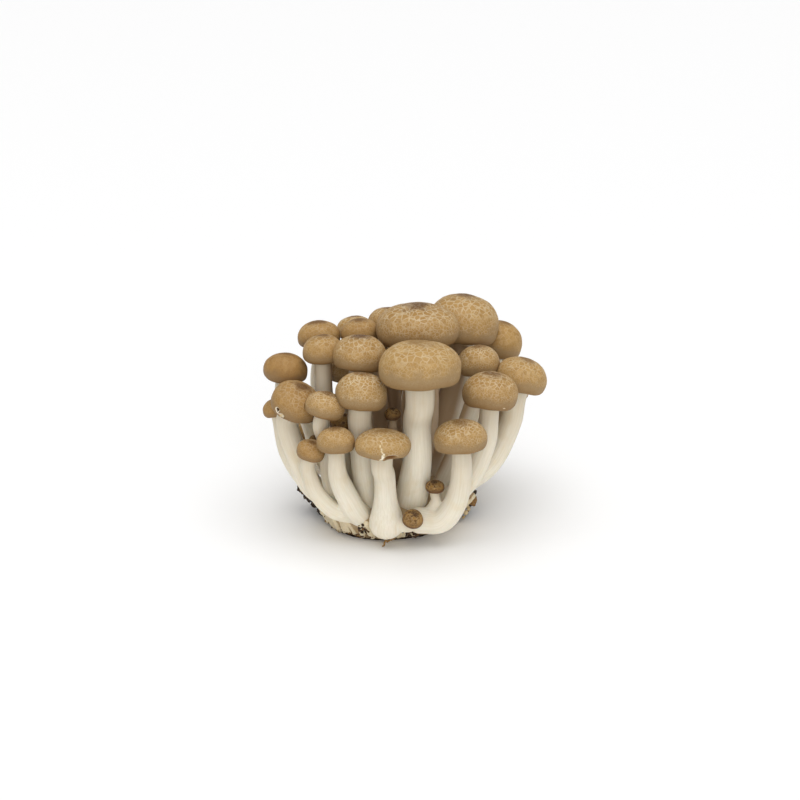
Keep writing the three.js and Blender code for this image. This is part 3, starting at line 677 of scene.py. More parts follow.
def tube(line, radii, sides, tips, root=()):
    """A closed tube whose ends stand out by the tips. Rows of the root say how wide each of its
    rings is and how far behind the line it stands, as shares of the first radius."""
    ahead, across, up = frames_along(line)
    turn = np.linspace(0, 2 * math.pi, sides, endpoint=False)[:, None]
    around = across[:, None] * np.cos(turn) + up[:, None] * np.sin(turn)
    behind, first = ahead[0] * radii[0], around[0] * radii[0]
    rings = [line[0] - behind * back + first * share for share, back in root]
    rings += [p + ring * radius for p, ring, radius in zip(line, around, radii)]
    points = np.vstack([line[0] - tips[0] * ahead[0], *rings, line[-1] + tips[1] * ahead[-1]])
    return points, [face[::-1] for face in ring_faces(len(rings), sides)]


# %% One stem as a tube
BANDS = 60
SIDES = 28
ROUND_ROOT = ((0.42, 0.7), (0.72, 0.52), (0.9, 0.3))
STEM_GAP = 0.25  # between a stem and the caps that it passes
STEM_SHARES = [0, 0.1, 0.26, 0.5, 0.8, 1]  # of the way up, where its thickness is set
SOFTENED = 13  # bands over which the thickness is evened out


def stem_line(m):
    """The middle line of a stem, from its root up into the flesh of its cap."""
    seat = m.at - m.axis * (m.seat + 0.35)
    line = smooth_line([*m.path, seat - m.axis * 0.7 * m.radius, seat], BANDS)
    inside = np.array(m.axis) * (0.26 * m.radius if not m.pin else 1.0)
    return np.vstack([line, line[-1] + inside])


def stem_radii(m):
    root, middle, top = (across / 2 for across in m.thick)
    near_root, lower = 0.84 * root + 0.16 * middle, 0.46 * root + 0.54 * middle
    sizes = [root, near_root, lower, middle, 0.3 * middle + 0.7 * top, top]
    if m.name == "front_middle":  # its root is a round bulb
        lower = 0.14 * root + 0.86 * middle
        sizes = [root, 0.98 * root, lower, 0.97 * middle, 0.97 * middle, 1.12 * top]
    radii = np.interp(np.linspace(0, 1, BANDS), STEM_SHARES, sizes)
    padded = np.pad(radii, SOFTENED // 2, mode="edge")
    soft = np.convolve(padded, np.ones(SOFTENED) / SOFTENED, mode="valid")
    return np.append(soft, soft[-1])


def stem_tube(m):
    line, radii = stem_line(m), stem_radii(m)
    points, faces = tube(line, radii, SIDES, (0.75 * radii[0], 0), ROUND_ROOT)
    for other in MUSHROOMS:
        away = np.linalg.norm(line - np.array(other.at), axis=1).min()
        if other is not m and away < other.radius + radii.max():
            points = press_out(points, other, STEM_GAP)
    return points, faces


# %% Helper: one closed skin from crossing shapes
def fused(name, shapes, voxel, rounds):
    """Remeshes crossing closed shapes into one skin and smooths it: points, faces and normals."""
    rough = new_piece(name, *together(shapes))
    rough.modifiers.new("one skin", "REMESH").voxel_size = voxel * MM
    soften = rough.modifiers.new("soften", "SMOOTH")
    soften.factor, soften.iterations = 0.5, rounds
    depsgraph = bpy.context.evaluated_depsgraph_get()
    mesh = bpy.data.meshes.new_from_object(rough.evaluated_get(depsgraph))
    bpy.data.objects.remove(rough)
    faces = [tuple(face.vertices) for face in mesh.polygons]
    return vectors(mesh.vertices, "co") / MM, faces, vectors(mesh.vertex_normals, "vector")


# %% Where a point is on its own stem, and how much it faces the middle
APART = 31  # keeps the fibres of two stems in one tuft different
MIDDLE = np.array((1, 3))


def along_stems(points, members):
    """Each point's place across and along its own stem, and its share of the way up."""
    grain, height = np.zeros((len(points), 3)), np.zeros(len(points))
    best = np.full(len(points), np.inf)
    for n, m in enumerate(members):
        line = stem_line(m)
        ahead, across, up = frames_along(line)
        tree = kdtree.KDTree(len(line))
        for i, p in enumerate(line):
            tree.insert(p, i)
        tree.balance()
        nearest = np.array([tree.find(p)[1] for p in points])
        off = points - line[nearest]
        x, y, z = (np.einsum("ij,ij->i", off, way[nearest]) for way in (across, up, ahead))
        step = np.linalg.norm(line[1] - line[0])
        along = nearest + z / step
        reach = np.linalg.norm(off, axis=1) / stem_radii(m)[nearest]
        mine = reach < best
        best[mine] = reach[mine]
        grain[mine] = np.stack([x + APART * n, y, along * step], axis=1)[mine]
        height[mine] = (along / BANDS)[mine]
    return grain, height


def inner_shade(points, normals):
    """1 on the sides that face the middle of the bunch, which get painted shade."""
    z, towards = points[:, 2], MIDDLE - points[:, :2]
    deep = np.linalg.norm(towards, axis=1) / (22 + 0.28 * z)  # 1 is the outside of the bunch
    towards /= np.linalg.norm(towards, axis=1)[:, None] + 1e-6
    inwards = np.einsum("ij,ij->i", towards, normals[:, :2])
    behind = np.clip((points[:, 1] + 2) / 8, 0, 1)
    facing = 0.8 * np.clip(inwards, 0, 1) + behind * np.clip(1.3 * inwards + 0.5, 0, 1)
    return np.clip((0.78 - deep) / 0.45 + facing, 0, 1) * np.clip((z - 8) / 14, 0, 1)


# %% The stems, tuft by tuft
STEM_VOXEL = 0.42
# height of the fibres' ridges, and their size across and along the stem
RIDGES = ((0.08, (2.2, 2.2, 30)), (0.02, (0.8, 0.8, 16)))
SWELL, SWELL_SIZE = 0.16, 9
stems = {}
for tuft in dict.fromkeys(m.tuft for m in MUSHROOMS):
    members = [m for m in MUSHROOMS if m.tuft == tuft]
    points, faces, normals = fused("stems", [stem_tube(m) for m in members], STEM_VOXEL, 4)
    grain, height = along_stems(points, members)
    ridges = sum(size * noise_at(grain / scale) for size, scale in RIDGES)
    points += normals * (ridges + SWELL * noise_at(points, SWELL_SIZE))[:, None]
    # the inner mark says where painted shade browns the stem
    marks = {"grain": grain, "height": height, "inner": inner_shade(points, normals)}
    stems[tuft] = new_piece("stalks_" + tuft, points, faces, marks)
print("stem faces:", {key: len(stem.data.polygons) for key, stem in stems.items()})

# %% [markdown]
# ## The foot
# All stems grow from one block of pale tissue, which was cut flat when the bunch was taken from its
# bottle. Its flank is ribbed: each rib is a young stem that never grew up. So the foot is a low
# bowl with a ring of short stubs that lean outwards, fused in the same way as the stems.

# %% The shape of the foot
FOOT_CENTRE = (-1.8, 1.2)
FOOT_RIM_HEIGHT = 10.4
FOOT_DEPTH = 0.94  # of its width
FOOT_ROWS = [(22.3, 0), (23.2, 0.7), (25.6, 4.7), (27.8, 9.4), (26.6, 11.6), (21, 13.2), (11, 15)]
FOOT_AROUND = 90


def flank(z):
    """How far the foot reaches at a height: it widens upwards like a bowl."""
    return 23 + 5.8 * z / FOOT_RIM_HEIGHT


def round_foot(angle, reach, z):
    """The point in a direction from the foot's middle; the foot isn't quite round."""
    unround = 1 + 0.03 * math.sin(2 * angle + 0.6) + 0.025 * math.sin(3 * angle + 2)
    x = FOOT_CENTRE[0] + reach * unround * math.cos(angle)
    return np.array((x, FOOT_CENTRE[1] + FOOT_DEPTH * reach * unround * math.sin(angle), z))


def foot_block():
    points = [round_foot(0, 0, 0)]
    for reach, z in FOOT_ROWS:
        angles = (2 * math.pi * i / FOOT_AROUND for i in range(FOOT_AROUND))
        points += [round_foot(angle, reach, z) for angle in angles]
    points.append(round_foot(0, 0, 15.3))
    return points, [face[::-1] for face in ring_faces(len(FOOT_ROWS), FOOT_AROUND)]


# %% The foot with its ribs
RIBS = 60
RIB_STEPS = 8
FOOT_VOXEL = 0.4
FOOT_BUMPS = ((0.3, 3), (0.15, 1.2))  # height and width


def rib(angle, rng):
    """A stub that leans out along the flank, a little thicker at its upper end."""
    low, high = 0.9 + rng.uniform(0, 1.4), rng.uniform(6.5, 10.5)
    width, lean = rng.uniform(1.0, 1.6), rng.uniform(-0.05, 0.05)
    line = []
    for z in np.linspace(low, high, RIB_STEPS):
        turned = angle + lean * (z - low) / (high - low)
        line.append(round_foot(turned, flank(z) + 0.25 * math.sin(0.8 * z), z))
    sizes = width * np.linspace(0.72, 1, RIB_STEPS)
    return tube(np.array(line), sizes, 12, (0.4 * width, 0.8 * width))


rng = np.random.default_rng(5)
shapes = [foot_block()]
shapes += [rib(2 * math.pi * (i + rng.uniform(-0.3, 0.3)) / RIBS, rng) for i in range(RIBS)]
points, faces, normals = fused("foot", shapes, FOOT_VOXEL, 3)
points += normals * sum(size * noise_at(points, width) for size, width in FOOT_BUMPS)[:, None]
points[:, 2] = np.maximum(points[:, 2], 0)
off = points[:, :2] - FOOT_CENTRE
bare = []
for angle, z in zip(np.arctan2(off[:, 1], off[:, 0] * FOOT_DEPTH), points[:, 2]):
    bare.append(np.linalg.norm(round_foot(angle, flank(z), z) - round_foot(angle, 0, z)))
proud = np.linalg.norm(off, axis=1) - bare
foot = new_piece("foot_block", points, faces, {"groove": np.clip(1 - proud / 0.8, 0, 1)})
print("foot faces:", len(faces))

# %% [markdown]
# ## The crust of growing medium
# Chipped wood and bran, bound by fine white threads, still hang on the flank: hardly any in front,
# where the bunch was broken clean, and more at the sides and the back. The crust is a ragged band
# with noise on it. What makes it look crumbly is loose matter of many sizes, so a tree scatters
# crumbs and wood chips over the band and the clods at the sides and the back.


# %% The band
BAND_ROWS, BAND_AROUND = 9, 300
BAND_DEPTH = 3.2  # from its outer side in to the foot


def crust_height(angle):
    """How far the crust reaches up: 2 mm in front, 8 mm at the sides and the back, in teeth."""
    front = max(0, -math.sin(angle))
    teeth = 0.8 * math.sin(5 * angle + 1) + 0.5 * math.sin(11 * angle)
    return 2 + 6 * (1 - front**0.8) + teeth * (1 - 0.6 * front)


def rough(p, size, scale, octaves=3):
    """Noise with finer noise on it, each octave half as high and half as wide."""
    return sum(size / 2**k * noise.noise(Vector(p) * 2**k / scale) for k in range(octaves))


def ragged(angle, steps):
    """Noise that closes on itself all the way round; more steps make finer teeth."""
    return noise.noise(Vector((steps * math.cos(angle), steps * math.sin(angle), 0)))


def band():
    points, last = [], BAND_ROWS - 1
    for i in range(BAND_ROWS):
        for j in range(BAND_AROUND):
            a = 2 * math.pi * j / BAND_AROUND
            top = crust_height(a) + 1.1 * ragged(a, 9) + 0.5 * ragged(a, 30)
            front = min(1, max(0, 0.15 - math.sin(a)) * 2.2)
            top = max(top * (1 - 0.95 * front), 0.25)
            z, thick = i / last * top, 1.5 if i in (0, last) else 1.9
            thick = thick * min(1, top / 4 + 0.25) * (1 - 0.75 * front)
            p = round_foot(a, flank(z) + thick, z)
            out = p - round_foot(a, 0, z)
            points.append(p + out / np.linalg.norm(out) * rough(p, 0.7, 2.4) * (0 < i))
    outer = len(points)
    for i in (last, 0):
        for p in points[i * BAND_AROUND : (i + 1) * BAND_AROUND]:
            inwards = round_foot(0, 0, p[2]) - p
            points.append(p + inwards / np.linalg.norm(inwards) * BAND_DEPTH)
    faces = []
    order = [k * BAND_AROUND for k in range(BAND_ROWS)] + [outer, outer + BAND_AROUND]
    for a, b in zip(order, order[1:] + order[:1]):
        for j in range(BAND_AROUND):
            k = (j + 1) % BAND_AROUND
            faces.append((a + j, a + k, b + k, b + j))
    return points, faces


# %% The clods, and the crust as one piece
# middle and width
CLODS = [
    (-31.6, 4.6, 7, 7), (-35.2, 5.6, 9.2, 4.4), (-27.2, -4, 4.2, 4.6), (-33.4, 2.4, 7.6, 3.2),
    (-30.6, -0.6, 5.2, 3.4), (25.4, 2, 5, 6), (27.6, 4.6, 8, 3.6), (14, 27, 5.4, 6),
    (-15, 26, 6, 7), (-30.4, -1, 9.6, 4),
]


def ball(subdivisions, radius):
    """Points and faces of a ball of triangles."""
    whole = bmesh.new()
    bmesh.ops.create_icosphere(whole, subdivisions=subdivisions, radius=radius)
    points = np.array([tuple(v.co) for v in whole.verts])
    faces = [tuple(v.index for v in face.verts) for face in whole.faces]
    whole.free()
    return points, faces


def clod(x, y, z, across):
    """An uneven ball, a little flatter than it is wide."""
    points, faces = ball(4, across / 2)
    points = points * (0.9, 1, 0.8)
    return [p * (1 + rough(p + x, 0.3, 2.2, 4) / (across / 4)) + (x, y, z) for p in points], faces


points, faces = together([band()] + [clod(*row) for row in CLODS])
points[:, 2] = np.maximum(points[:, 2], 0)
angle = np.arctan2(points[:, 1] - FOOT_CENTRE[1], points[:, 0] - FOOT_CENTRE[0])
loose = np.clip(1 - 3 * np.maximum(0, 0.1 - np.sin(angle)), 0.02, 1) * (points[:, 2] > 0.6)
crust = new_piece("crust_band", points, faces, {"loose": loose}, smooth=False)
print("crust faces:", len(faces))


# %% The tree that scatters crumbs
def crumb_tree():
    tree, node, given = new_tree(
        "crumbs on a surface", Amount=0.8e6, Smallest=0.25 * MM, Largest=0.9 * MM, Stretch=1.0,
        Seed=1,
    )
    mesh, seed = given["Geometry"], given["Seed"]
    amount = node(TIMES, given["Amount"], node("InputNamedAttribute FLOAT", "loose"))
    spots = node("DistributePointsOnFaces", mesh, Density=amount, Seed=seed)
    pebble = node("MeshIcoSphere", Radius=1.0, Subdivisions=2)
    few_big = node("Math POWER", node("RandomValue", Min=0.0, Max=1.0, Seed=seed), 2.5)
    measure = node("MapRange", few_big, To_Min=given["Smallest"], To_Max=given["Largest"])
    low, high = (0.55, 0.5, 0.5), (1.2, 1.0, 1.0)
    shape = node("RandomValue FLOAT_VECTOR", Min=low, Max=high, Seed=7)
    stretched = node("VectorMath MULTIPLY", shape, node("CombineXYZ", given["Stretch"], 1.0, 1.0))
    scale = node("VectorMath SCALE", stretched, measure)
    any_way = node("RandomValue FLOAT_VECTOR", Min=(0.0,) * 3, Max=(6.28,) * 3, Seed=3)
    crumbs = node("InstanceOnPoints", spots, Instance=pebble, Rotation=any_way, Scale=scale)
    shade = node("RandomValue", Min=0.0, Max=1.0, Seed=11)
    named = {"domain": "INSTANCE", "Name": "shade", "Value": shade}
    marked = node("StoreNamedAttribute FLOAT", crumbs, **named)
    place = node("InputPosition")
    where = node("VectorMath MULTIPLY", place, (1 / (0.6 * MM),) * 3)
    uneven = node("TexNoise", where, Scale=1.0, Detail=2.0).outputs["Color"]
    centred = node("VectorMath SUBTRACT", uneven, (0.5,) * 3)
    shift = node("VectorMath SCALE", centred, 0.7 * MM)
    broken = node("SetPosition", node("RealizeInstances", marked), Offset=shift)
    x, y, z = node("SeparateXYZ", place).outputs
    on_table = node("CombineXYZ", x, y, node("Math MAXIMUM", z, 0.05 * MM))
    resting = node("SetPosition", broken, Position=on_table)
    sharp = node("SetShadeSmooth", resting, Shade_Smooth=False)
    node("GroupOutput", node("SetMaterial", sharp, Material=given["Material"]))
    return tree


CRUMBS = crumb_tree()
medium_finish, medium_node = new_material("growing medium of wood and bran")
# crumbs, then chips: how many on a square metre, smallest, largest, length for width, seed
SORTS = ((0.75e6, 0.15, 0.65, 1.0, 4), (0.08e6, 0.3, 0.7, 2.6, 9))
meshes = []
for amount, small, large, stretch, seed in SORTS:
    meshes.append(grown(
        "crumbs", CRUMBS, crust.data.copy(), Amount=amount, Smallest=small * MM,
        Largest=large * MM, Stretch=stretch, Seed=seed, Material=medium_finish,
    ))
crumbs = joined("crumbs", meshes, medium_finish)
print("crumb faces:", len(crumbs.data.polygons))

# %% [markdown]
# ### Bits pressed into the foot
# In front the flank is nearly clean. Only some dark bits are pressed in between the roots, a few
# golden root threads hang below the front mushroom, and torn bark chips stick out at the sides.
# Each bit is thrown at the flank from outside and stays where it meets the surface.

# %% Single bits
# Chips that stick out at the sides: where, how large and how pale
CHIPS = [
    ((27.4, -2.6, 8.2), 2.1, 0.86), ((28, -2.4, 6.6), 1.7, 0.8), ((26.2, -3.4, 5), 1.3, 1.05),
    ((25.2, -4.4, 3.6), 0.9, 1.1), ((25.8, -3.8, 3.9), 0.6, 0.9), ((24.4, -5.4, 2.2), 0.7, 1.0),
    ((-35.2, 2.2, 9.8), 1.2, 0.9), ((-34.5, 2, 9.3), 0.9, 0.82),
]
# angle round the foot and its spread, height and its spread, how many, smallest and largest, shade
PATCHES = [
    (-68, 13, 4.6, 1.6, 120, 0.25, 0.9, (0.1, 0.75)),
    (-69, 10, 2.2, 1.2, 60, 0.25, 0.8, (0.1, 0.9)),
    (-112, 4, 5.2, 2.4, 60, 0.2, 0.7, (0.1, 0.85)),
    (-122, 22, 1.6, 0.9, 70, 0.15, 0.5, (0.3, 0.95)),
    (-40, 12, 2.6, 2.0, 30, 0.15, 0.5, (0.2, 0.95)),
    (-165, 18, 2.2, 1.8, 50, 0.15, 0.55, (0.2, 0.95)),
]
FAR_OUT = 60  # where the bits are thrown from
LUMP_POINTS, LUMP_FACES = ball(2, 1)
rng = np.random.default_rng(21)
shapes, shades = [], []


def lump(at, size, shade):
    """A rough crumb; its three sizes differ and it is turned any way."""
    turn = np.array(Matrix.Rotation(rng.uniform(0, 6.28), 3, Vector(rng.normal(size=3))))
    body = LUMP_POINTS * (size * rng.uniform(0.5, 1.1, 3)) @ turn.T
    swell = [1 + 0.5 * noise.noise(Vector(p) / size * 1.3 + Vector(at)) for p in body]
    body = body * np.array(swell)[:, None] + at
    body[:, 2] = np.maximum(body[:, 2], 0.05)
    shapes.append((body, LUMP_FACES))
    shades.append(np.full(len(body), shade))


skin_faces = [tuple(face.vertices) for face in foot.data.polygons]
surface = BVHTree.FromPolygons((vectors(foot.data.vertices, "co") / MM).tolist(), skin_faces)
for angle, spread, height, tall, count, small, large, (dark, light) in PATCHES:
    for _ in range(count):
        a = math.radians(angle + rng.normal() * spread / 2)
        z = max(0.2, height + rng.normal() * tall / 2)
        start, middle = Vector(round_foot(a, FAR_OUT, z)), Vector(round_foot(a, 0, z))
        hit = surface.ray_cast(start, (middle - start).normalized())[0]
        if hit:
            size = small + (large - small) * rng.random() ** 2
            lump(np.array(hit), size, rng.uniform(dark, light))
for at, size, shade in CHIPS:
    lump(np.array(at), size, shade)
print("bits and chips:", len(shapes))

# %% Root threads
THREADS = [
    [(-3.2, -25.4, 4.4), (-3.6, -26.4, 3.2), (-4.4, -26.6, 2.4), (-4.6, -27.2, 1.4),
     (-5.2, -27, 0.9)],
    [(-2.4, -25.8, 4.6), (-2, -26.6, 3.6), (-3, -27, 3), (-3.6, -27.2, 2.6)],
    [(-1.2, -25.4, 5), (-0.8, -26.4, 4.2), (-1.6, -27, 3.7), (-2.2, -26.8, 3.2)],
]
THREAD_STEPS = 16
for line in THREADS:
    path = smooth_line(line, THREAD_STEPS)
    width = 0.42 * np.linspace(1, 0.65, THREAD_STEPS) * (1 + 0.35 * noise_at(path, 1 / 1.7))
    shapes.append(tube(path, width, 8, (0.2, 0.25)))
    shades.append(0.88 + 0.05 * np.sin(np.arange(len(shapes[-1][0]))))
marks = {"shade": np.concatenate(shades)}
foot_bits = new_piece("bits_on_the_foot", *together(shapes), marks, smooth=False)
foot_bits.data.materials.append(medium_finish)
print("with threads:", len(shapes))

# %% [markdown]
# ## The skin of a cap
# Cap skin is thin, dry and slightly satin. As the cap swells its brown surface splits into small
# golden patches, with a fine net of pale flesh between them. The top is darker and its patches are
# small, they are largest half way down, and towards the rolled rim they fade into a smooth tan. A
# smaller cap has smaller patches. Cells of a Voronoi texture have just this shape, and their
# distance to the edge draws the net.

# %% Material: marbled cap skin
PATCH = 2.1 * MM  # across one patch, half way down
SMALL_PATCH = 1.2 * MM  # across the smaller ones below them
SPECK = 0.6 * MM  # across the specks near the top and the rim
# size of the patches, width of the lines, and where on the dome that net begins and ends
NETS = (
    (PATCH, 0.13, 0.1, 0.28, 0.6, 0.86), (SMALL_PATCH, 0.15, 0.5, 0.78, 0.9, 1.15),
    (SPECK, 0.2, -0.4, -0.3, 1.15, 1.6),
)


def marbled_lines(node, level, fineness, here, clouds):
    """How pale the net and the specks are at a point, and one random number for each patch."""
    bend = node("TexNoise", here, Scale=1 / (1.8 * MM), Detail=1.0).outputs["Color"]
    bent = node("VectorMath MULTIPLY_ADD", bend, (0.9 * MM,) * 3, here)
    bent = node("VectorMath SCALE", bent, fineness)
    nets, cells = [], []
    for size, width, begin, full, fade, end in NETS:
        edge = node("TexVoronoi DISTANCE_TO_EDGE", bent, Scale=1 / size)
        inside = node("TexVoronoi F1", bent, Scale=1 / size).outputs
        corner = node(TIMES, node(STEP, inside["Distance"], 0.55, 0.9), 0.35)
        line = node("Math MAXIMUM", node(STEP, edge, width, 0.2 * width), corner)
        zone = node(TIMES, node(STEP, level, begin, full), node(STEP, level, end, fade))
        nets.append(node(TIMES, line, zone))
        cells.append(node("SeparateColor", inside["Color"]).outputs)
    strength = node(TIMES_PLUS, node(STEP, clouds, 0.3, 0.6), 0.5, 0.5)
    lines = node(TIMES, node("Math MAXIMUM", nets[0], node(TIMES, nets[1], 0.55)), strength)
    low_zone = node(TIMES, node(STEP, level, 0.7, 1.0), 0.3)
    outer_zone = node("Math MAXIMUM", node(STEP, level, 0.4, 0.15), low_zone)
    some = node(TIMES, node(STEP, cells[2]["Green"], 0.4, 0.8), 0.7)
    specks = node(TIMES, node(TIMES, nets[2], some), outer_zone)
    return node(PLUS, lines, specks), cells[0]["Red"]


def cap_skin(name, dark, middle, pale, rim, net, contrast=0.6):
    material, node = new_material(name)
    part, tone, marbling, crown, torn_here, fineness = (
        node("Attribute", attribute_name=key).outputs["Fac"]
        for key in ("part", "tone", "marbling", "crown", "torn", "fineness")
    )
    here = node("TexCoord").outputs["Object"]
    broad = node("TexNoise", here, Scale=1 / (5 * MM), Detail=3.0)
    clouds = node("TexNoise", here, Scale=1 / (1.8 * MM), Detail=2.0)
    fine = node("TexNoise", here, Scale=1 / (0.5 * MM), Detail=3.0)
    # 0 at the top, 1 at the widest ring and 2 at the gills, with an uneven edge
    level = node(PLUS, part, node(TIMES_PLUS, broad, 0.6, -0.3))
    lines, patch = marbled_lines(node, level, fineness, here, clouds)
    pale_lines = node(TIMES, lines, marbling)

    # a brown crown, a smooth tan rim, golden patches between them and painted shade on the lower
    # rim
    ground = node(MIX, node(TIMES, node(STEP, level, 0.42, 0.02), crown), middle, dark)
    ground = node(MIX, node(STEP, level, 0.8, 1.2), ground, rim)
    zone = node(TIMES, node(STEP, level, 0.1, 0.3), node(STEP, level, 1.1, 0.75))
    ground = node(MIX, node(TIMES, node(TIMES, patch, zone), contrast), ground, pale)
    # painted shade where the rim rolls under
    ground = node(MIX, node(TIMES, node(STEP, level, 1.15, 1.75), 0.5), ground, "#8A683C")
    # fine mottling, the pale net over it, a darker tone for old skin, and painted shade on folded
    # skin
    mottle = node(MIX, node(TIMES, node(STEP, fine, 0.48, 0.75), 0.16), ground, dark)
    lined = node(MIX, node(TIMES, pale_lines, 0.56, use_clamp=True), mottle, net)
    shaded = node(MIX, 1.0, lined, "#B8997A", blend_type="MULTIPLY")
    recess_shade = node(TIMES, torn_here, -1.0, use_clamp=True)
    toned = node(MIX, node(TIMES_PLUS, tone, 0.45, recess_shade, use_clamp=True), lined, shaded)
    # pale flesh under the cap and in the tears, and the painted shade of a hole
    below = node(MIX, node(STEP, part, 1.93, 2.05), toned, "#E2D8C2")
    bare = node(MIX, node(STEP, clouds, 0.35, 0.6), "#D9C394", "#F2E9D4")
    flesh = node(MIX, node(STEP, torn_here, 0.1, 0.8), below, bare)
    flesh = node(MIX, node(STEP, torn_here, 1.25, 1.7), flesh, "#5A4026")

    relief = node(PLUS, node(TIMES, pale_lines, -0.5), node(TIMES, fine, 0.4))
    bump = node("Bump", Height=relief, Strength=0.45, Distance=0.1 * MM)
    satin = node("MapRange", fine, To_Min=0.5, To_Max=0.62)
    node("OutputMaterial", node(
        "BsdfPrincipled", flesh, Roughness=satin, Normal=bump, IOR=1.4, Specular_IOR_Level=0.25,
        Subsurface_Weight=0.1, Subsurface_Radius=(1.0, 0.7, 0.45), Subsurface_Scale=1.0 * MM,
    ))
    return material


skin_finish = cap_skin("marbled cap skin", "#694A2A", "#AB874F", "#C3A169", "#A38860", "#E8DDC0")
pin_finish = cap_skin(
    "dark pinhead skin", "#432C1C", "#66472A", "#AD8648", "#6E5034", "#C6AC7C", contrast=0.9
)
for m in MUSHROOMS:
    caps[m.name].data.materials.append(pin_finish if m.pin else skin_finish)
print("finishes of the caps:", skin_finish.name, "and", pin_finish.name)

# %% [markdown]
# ## Pale flesh of the stems
# The flesh of a stem is firm and pale cream, and some light passes into it, which softens its
# shade: that is what subsurface light is for. Long fibres run up it, a few of them yellower or
# browner, and it greys a little below the cap, which is painted shade under the caps. The sides
# that face the middle of the bunch get little light, and painted shade makes them browner.

# %% Material: fibrous stem flesh
FIBRES = (2.2, 2.2, 0.09)  # for each millimetre across and along
STREAKS = (0.9, 0.9, 0.05)
stem_finish, node = new_material("fibrous stem flesh")
here = node("TexCoord").outputs["Object"]
grain = node("Attribute", attribute_name="grain").outputs["Vector"]
height = node("Attribute", attribute_name="height").outputs["Fac"]
inner = node("Attribute", attribute_name="inner").outputs["Fac"]
long_way = node("VectorMath MULTIPLY", grain, FIBRES)
fibres = node("TexNoise", long_way, Scale=1.0, Detail=4.0, Roughness=0.6)
streaks = node("TexNoise", node("VectorMath MULTIPLY", grain, STREAKS), Scale=1.0, Detail=2.0)
blotches = node("TexNoise", here, Scale=1 / (7 * MM), Detail=3.0)
ground = node(MIX, node(STEP, fibres, 0.35, 0.65), "#E8E0CC", "#F0E9D8")
# yellow streaks and stains, and painted shade that greys the stem below the cap
for value, low, high, share, colour in (
    (streaks, 0.55, 0.75, 0.3, "#DEC9A0"), (blotches, 0.52, 0.72, 0.3, "#DFCCA4"),
    (height, 0.25, 1.0, 0.55, "#CCBDA2"),
):
    ground = node(MIX, node(TIMES, node(STEP, value, low, high), share), ground, colour)
# painted shade: sides that face the middle of the bunch turn browner
shaded_inwards = node(MIX, node(TIMES, inner, 0.9), ground, "#AC8F6C")
relief = node(PLUS, fibres, node(TIMES, streaks, 0.6))
bump = node("Bump", Height=relief, Strength=0.25, Distance=0.12 * MM)
node("OutputMaterial", node(
    "BsdfPrincipled", shaded_inwards, Roughness=0.55, Normal=bump, IOR=1.4, Specular_IOR_Level=0.35,
    Subsurface_Weight=0.45, Subsurface_Radius=(1.0, 0.8, 0.6), Subsurface_Scale=1.2 * MM,
))
for stem in stems.values():
    stem.data.materials.append(stem_finish)
print("stems with", stem_finish.name + ":", len(stems))

# %% [markdown]
# ## Gills, foot and growing medium
# The gills are the palest part. The foot is the same flesh as the stems but older: tan, with brown
# stains low down, where it touched the medium, and darker in the grooves between its ribs. The
# medium is a mix of dark and golden bits.

# %% Material: gill flesh
here = gills_node("TexCoord").outputs["Object"]
cloud = gills_node("TexNoise", here, Scale=1 / (2 * MM), Detail=3.0)
tint = gills_node(MIX, cloud, "#E9E1CE", "#D8CBB0")
bump = gills_node("Bump", Height=cloud, Strength=0.3, Distance=0.1 * MM)
gills_node("OutputMaterial", gills_node(
    "BsdfPrincipled", tint, Roughness=0.6, Normal=bump, IOR=1.4, Subsurface_Weight=0.3,
    Subsurface_Radius=(1.0, 0.65, 0.4), Subsurface_Scale=1.0 * MM,
))

# %% Material: aged foot flesh
foot_finish, node = new_material("aged foot flesh")
here = node("TexCoord").outputs["Object"]
groove = node("Attribute", attribute_name="groove").outputs["Fac"]
height = node("SeparateXYZ", here).outputs["Z"]
blotch = node("TexNoise", here, Scale=1 / (3 * MM), Detail=4.0, Roughness=0.65)
grit = node("TexNoise", here, Scale=1 / (0.5 * MM), Detail=3.0)
lift = node(TIMES_PLUS, blotch, 6 * MM, height)
ground = node(MIX, blotch, "#D2BF98", "#EBDFC4")
# darker in the grooves between the ribs
ground = node(MIX, node(TIMES, node(STEP, groove, 0.35, 0.85), 0.75), ground, "#9A7C54")
ground = node(MIX, node(TIMES, node(STEP, grit, 0.56, 0.72), 0.35), ground, "#8C6C44")
ground = node(MIX, node(STEP, lift, 4.9 * MM, 2.2 * MM), ground, "#6B5034")
bump = node("Bump", Height=grit, Strength=0.5, Distance=0.25 * MM)
node("OutputMaterial", node(
    "BsdfPrincipled", ground, Roughness=0.75, Normal=bump, IOR=1.4, Subsurface_Weight=0.2,
    Subsurface_Radius=(1.0, 0.7, 0.45), Subsurface_Scale=1.0 * MM,
))
foot.data.materials.append(foot_finish)

# %% Material: growing medium
shade = medium_node("Attribute", attribute_name="shade").outputs["Fac"]
here = medium_node("TexCoord").outputs["Object"]
grit = medium_node("TexNoise", here, Scale=1 / (0.7 * MM), Detail=4.0)
either = medium_node(TIMES_PLUS, shade, 0.7, medium_node(TIMES, grit, 0.35))
bits = medium_node("ValToRGB", either, stops=[
    (0.1, "#261A11"), (0.45, "#3D2A1B"), (0.68, "#5E4229"), (0.82, "#94703F"), (0.92, "#C9B68F")])
bump = medium_node("Bump", Height=grit, Strength=0.7, Distance=0.3 * MM)
medium_node("OutputMaterial", medium_node("BsdfPrincipled", bits, Roughness=0.9, Normal=bump))
crust.data.materials.append(medium_finish)
print("finishes:", gills_finish.name + ",", foot_finish.name + ",", medium_finish.name)

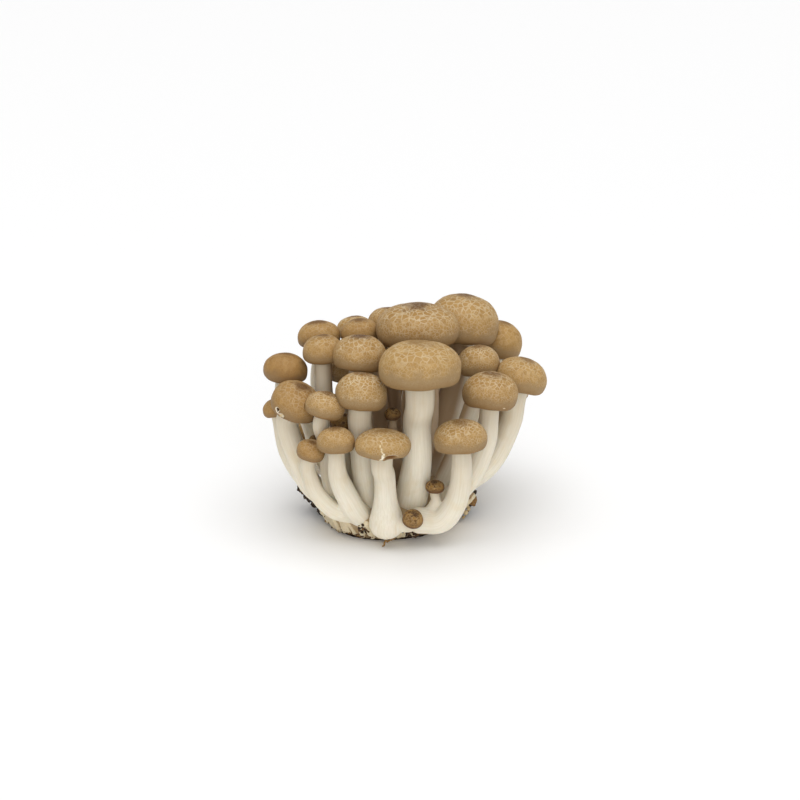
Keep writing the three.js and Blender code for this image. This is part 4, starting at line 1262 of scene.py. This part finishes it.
# %% [markdown]
# ## Floor and light
# The bunch stands on a plain white table in soft studio light. A white surround gives an even light
# from all sides, one wide soft lamp high above puts the shade under the caps and the bunch, and a
# weaker one in front brightens the stems.

# %% Floor and light
bpy.ops.mesh.primitive_plane_add(size=80)
floor = bpy.context.object
floor.name = "table"
table_finish, node = new_material("white table")
# a matt white board: it shows soft shadows and no mirror image
node("OutputMaterial", node("BsdfPrincipled", "#FBFBFB", Roughness=0.6, Specular_IOR_Level=0.2))
floor.data.materials.append(table_finish)
floor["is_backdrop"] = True

world = bpy.data.worlds.new("studio")
scene.world = world
world.use_nodes = True
world.node_tree.nodes["Background"].inputs["Color"].default_value = (1, 1, 1, 1)
world.node_tree.nodes["Background"].inputs["Strength"].default_value = 0.4


def soft_light(name, place, strength, spread):
    """A sun lamp that shines from a place towards the bunch; a wide spread makes soft shadows."""
    lamp = bpy.data.lights.new(name, "SUN")
    lamp.energy, lamp.angle = strength, math.radians(spread)
    lit = placed(name, lamp)
    lit.location = place
    lit.rotation_euler = (AIM - Vector(place)).to_track_quat("-Z", "Y").to_euler()


soft_light("key", (0.02, -0.14, 1), 1.95, 64)
soft_light("fill", (0.1, -1, 0.35), 0.75, 45)
scene.view_settings.view_transform = "Standard"

# %% [markdown]
# ## The pieces and their solids
# Each piece moves with the root of the whole, and the solid that it stands for is hidden. The sizes
# of the solids and of the dressed bunch are printed.

# %% Pieces and solids
for m in MUSHROOMS:
    skin = caps[m.name]
    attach(skin, "root")
    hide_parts("cap_" + m.name)
for tuft, stem in stems.items():
    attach(stem, "root")
    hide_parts("stems_" + tuft)
OTHERS = (
    (gills, "gills", None), (foot, "foot", "foot"), (crust, "crust", "crust"),
    (crumbs, "crust", None), (foot_bits, "crust", None),
)
for piece, slot, node in OTHERS:
    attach(piece, "root")
    if node:
        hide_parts(node)

# %% Sizes
new_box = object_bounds()
for name, box in (("solids", cad_box), ("dressed", new_box)):
    print(name, [[round(v / MM, 1) for v in corner] for corner in box])
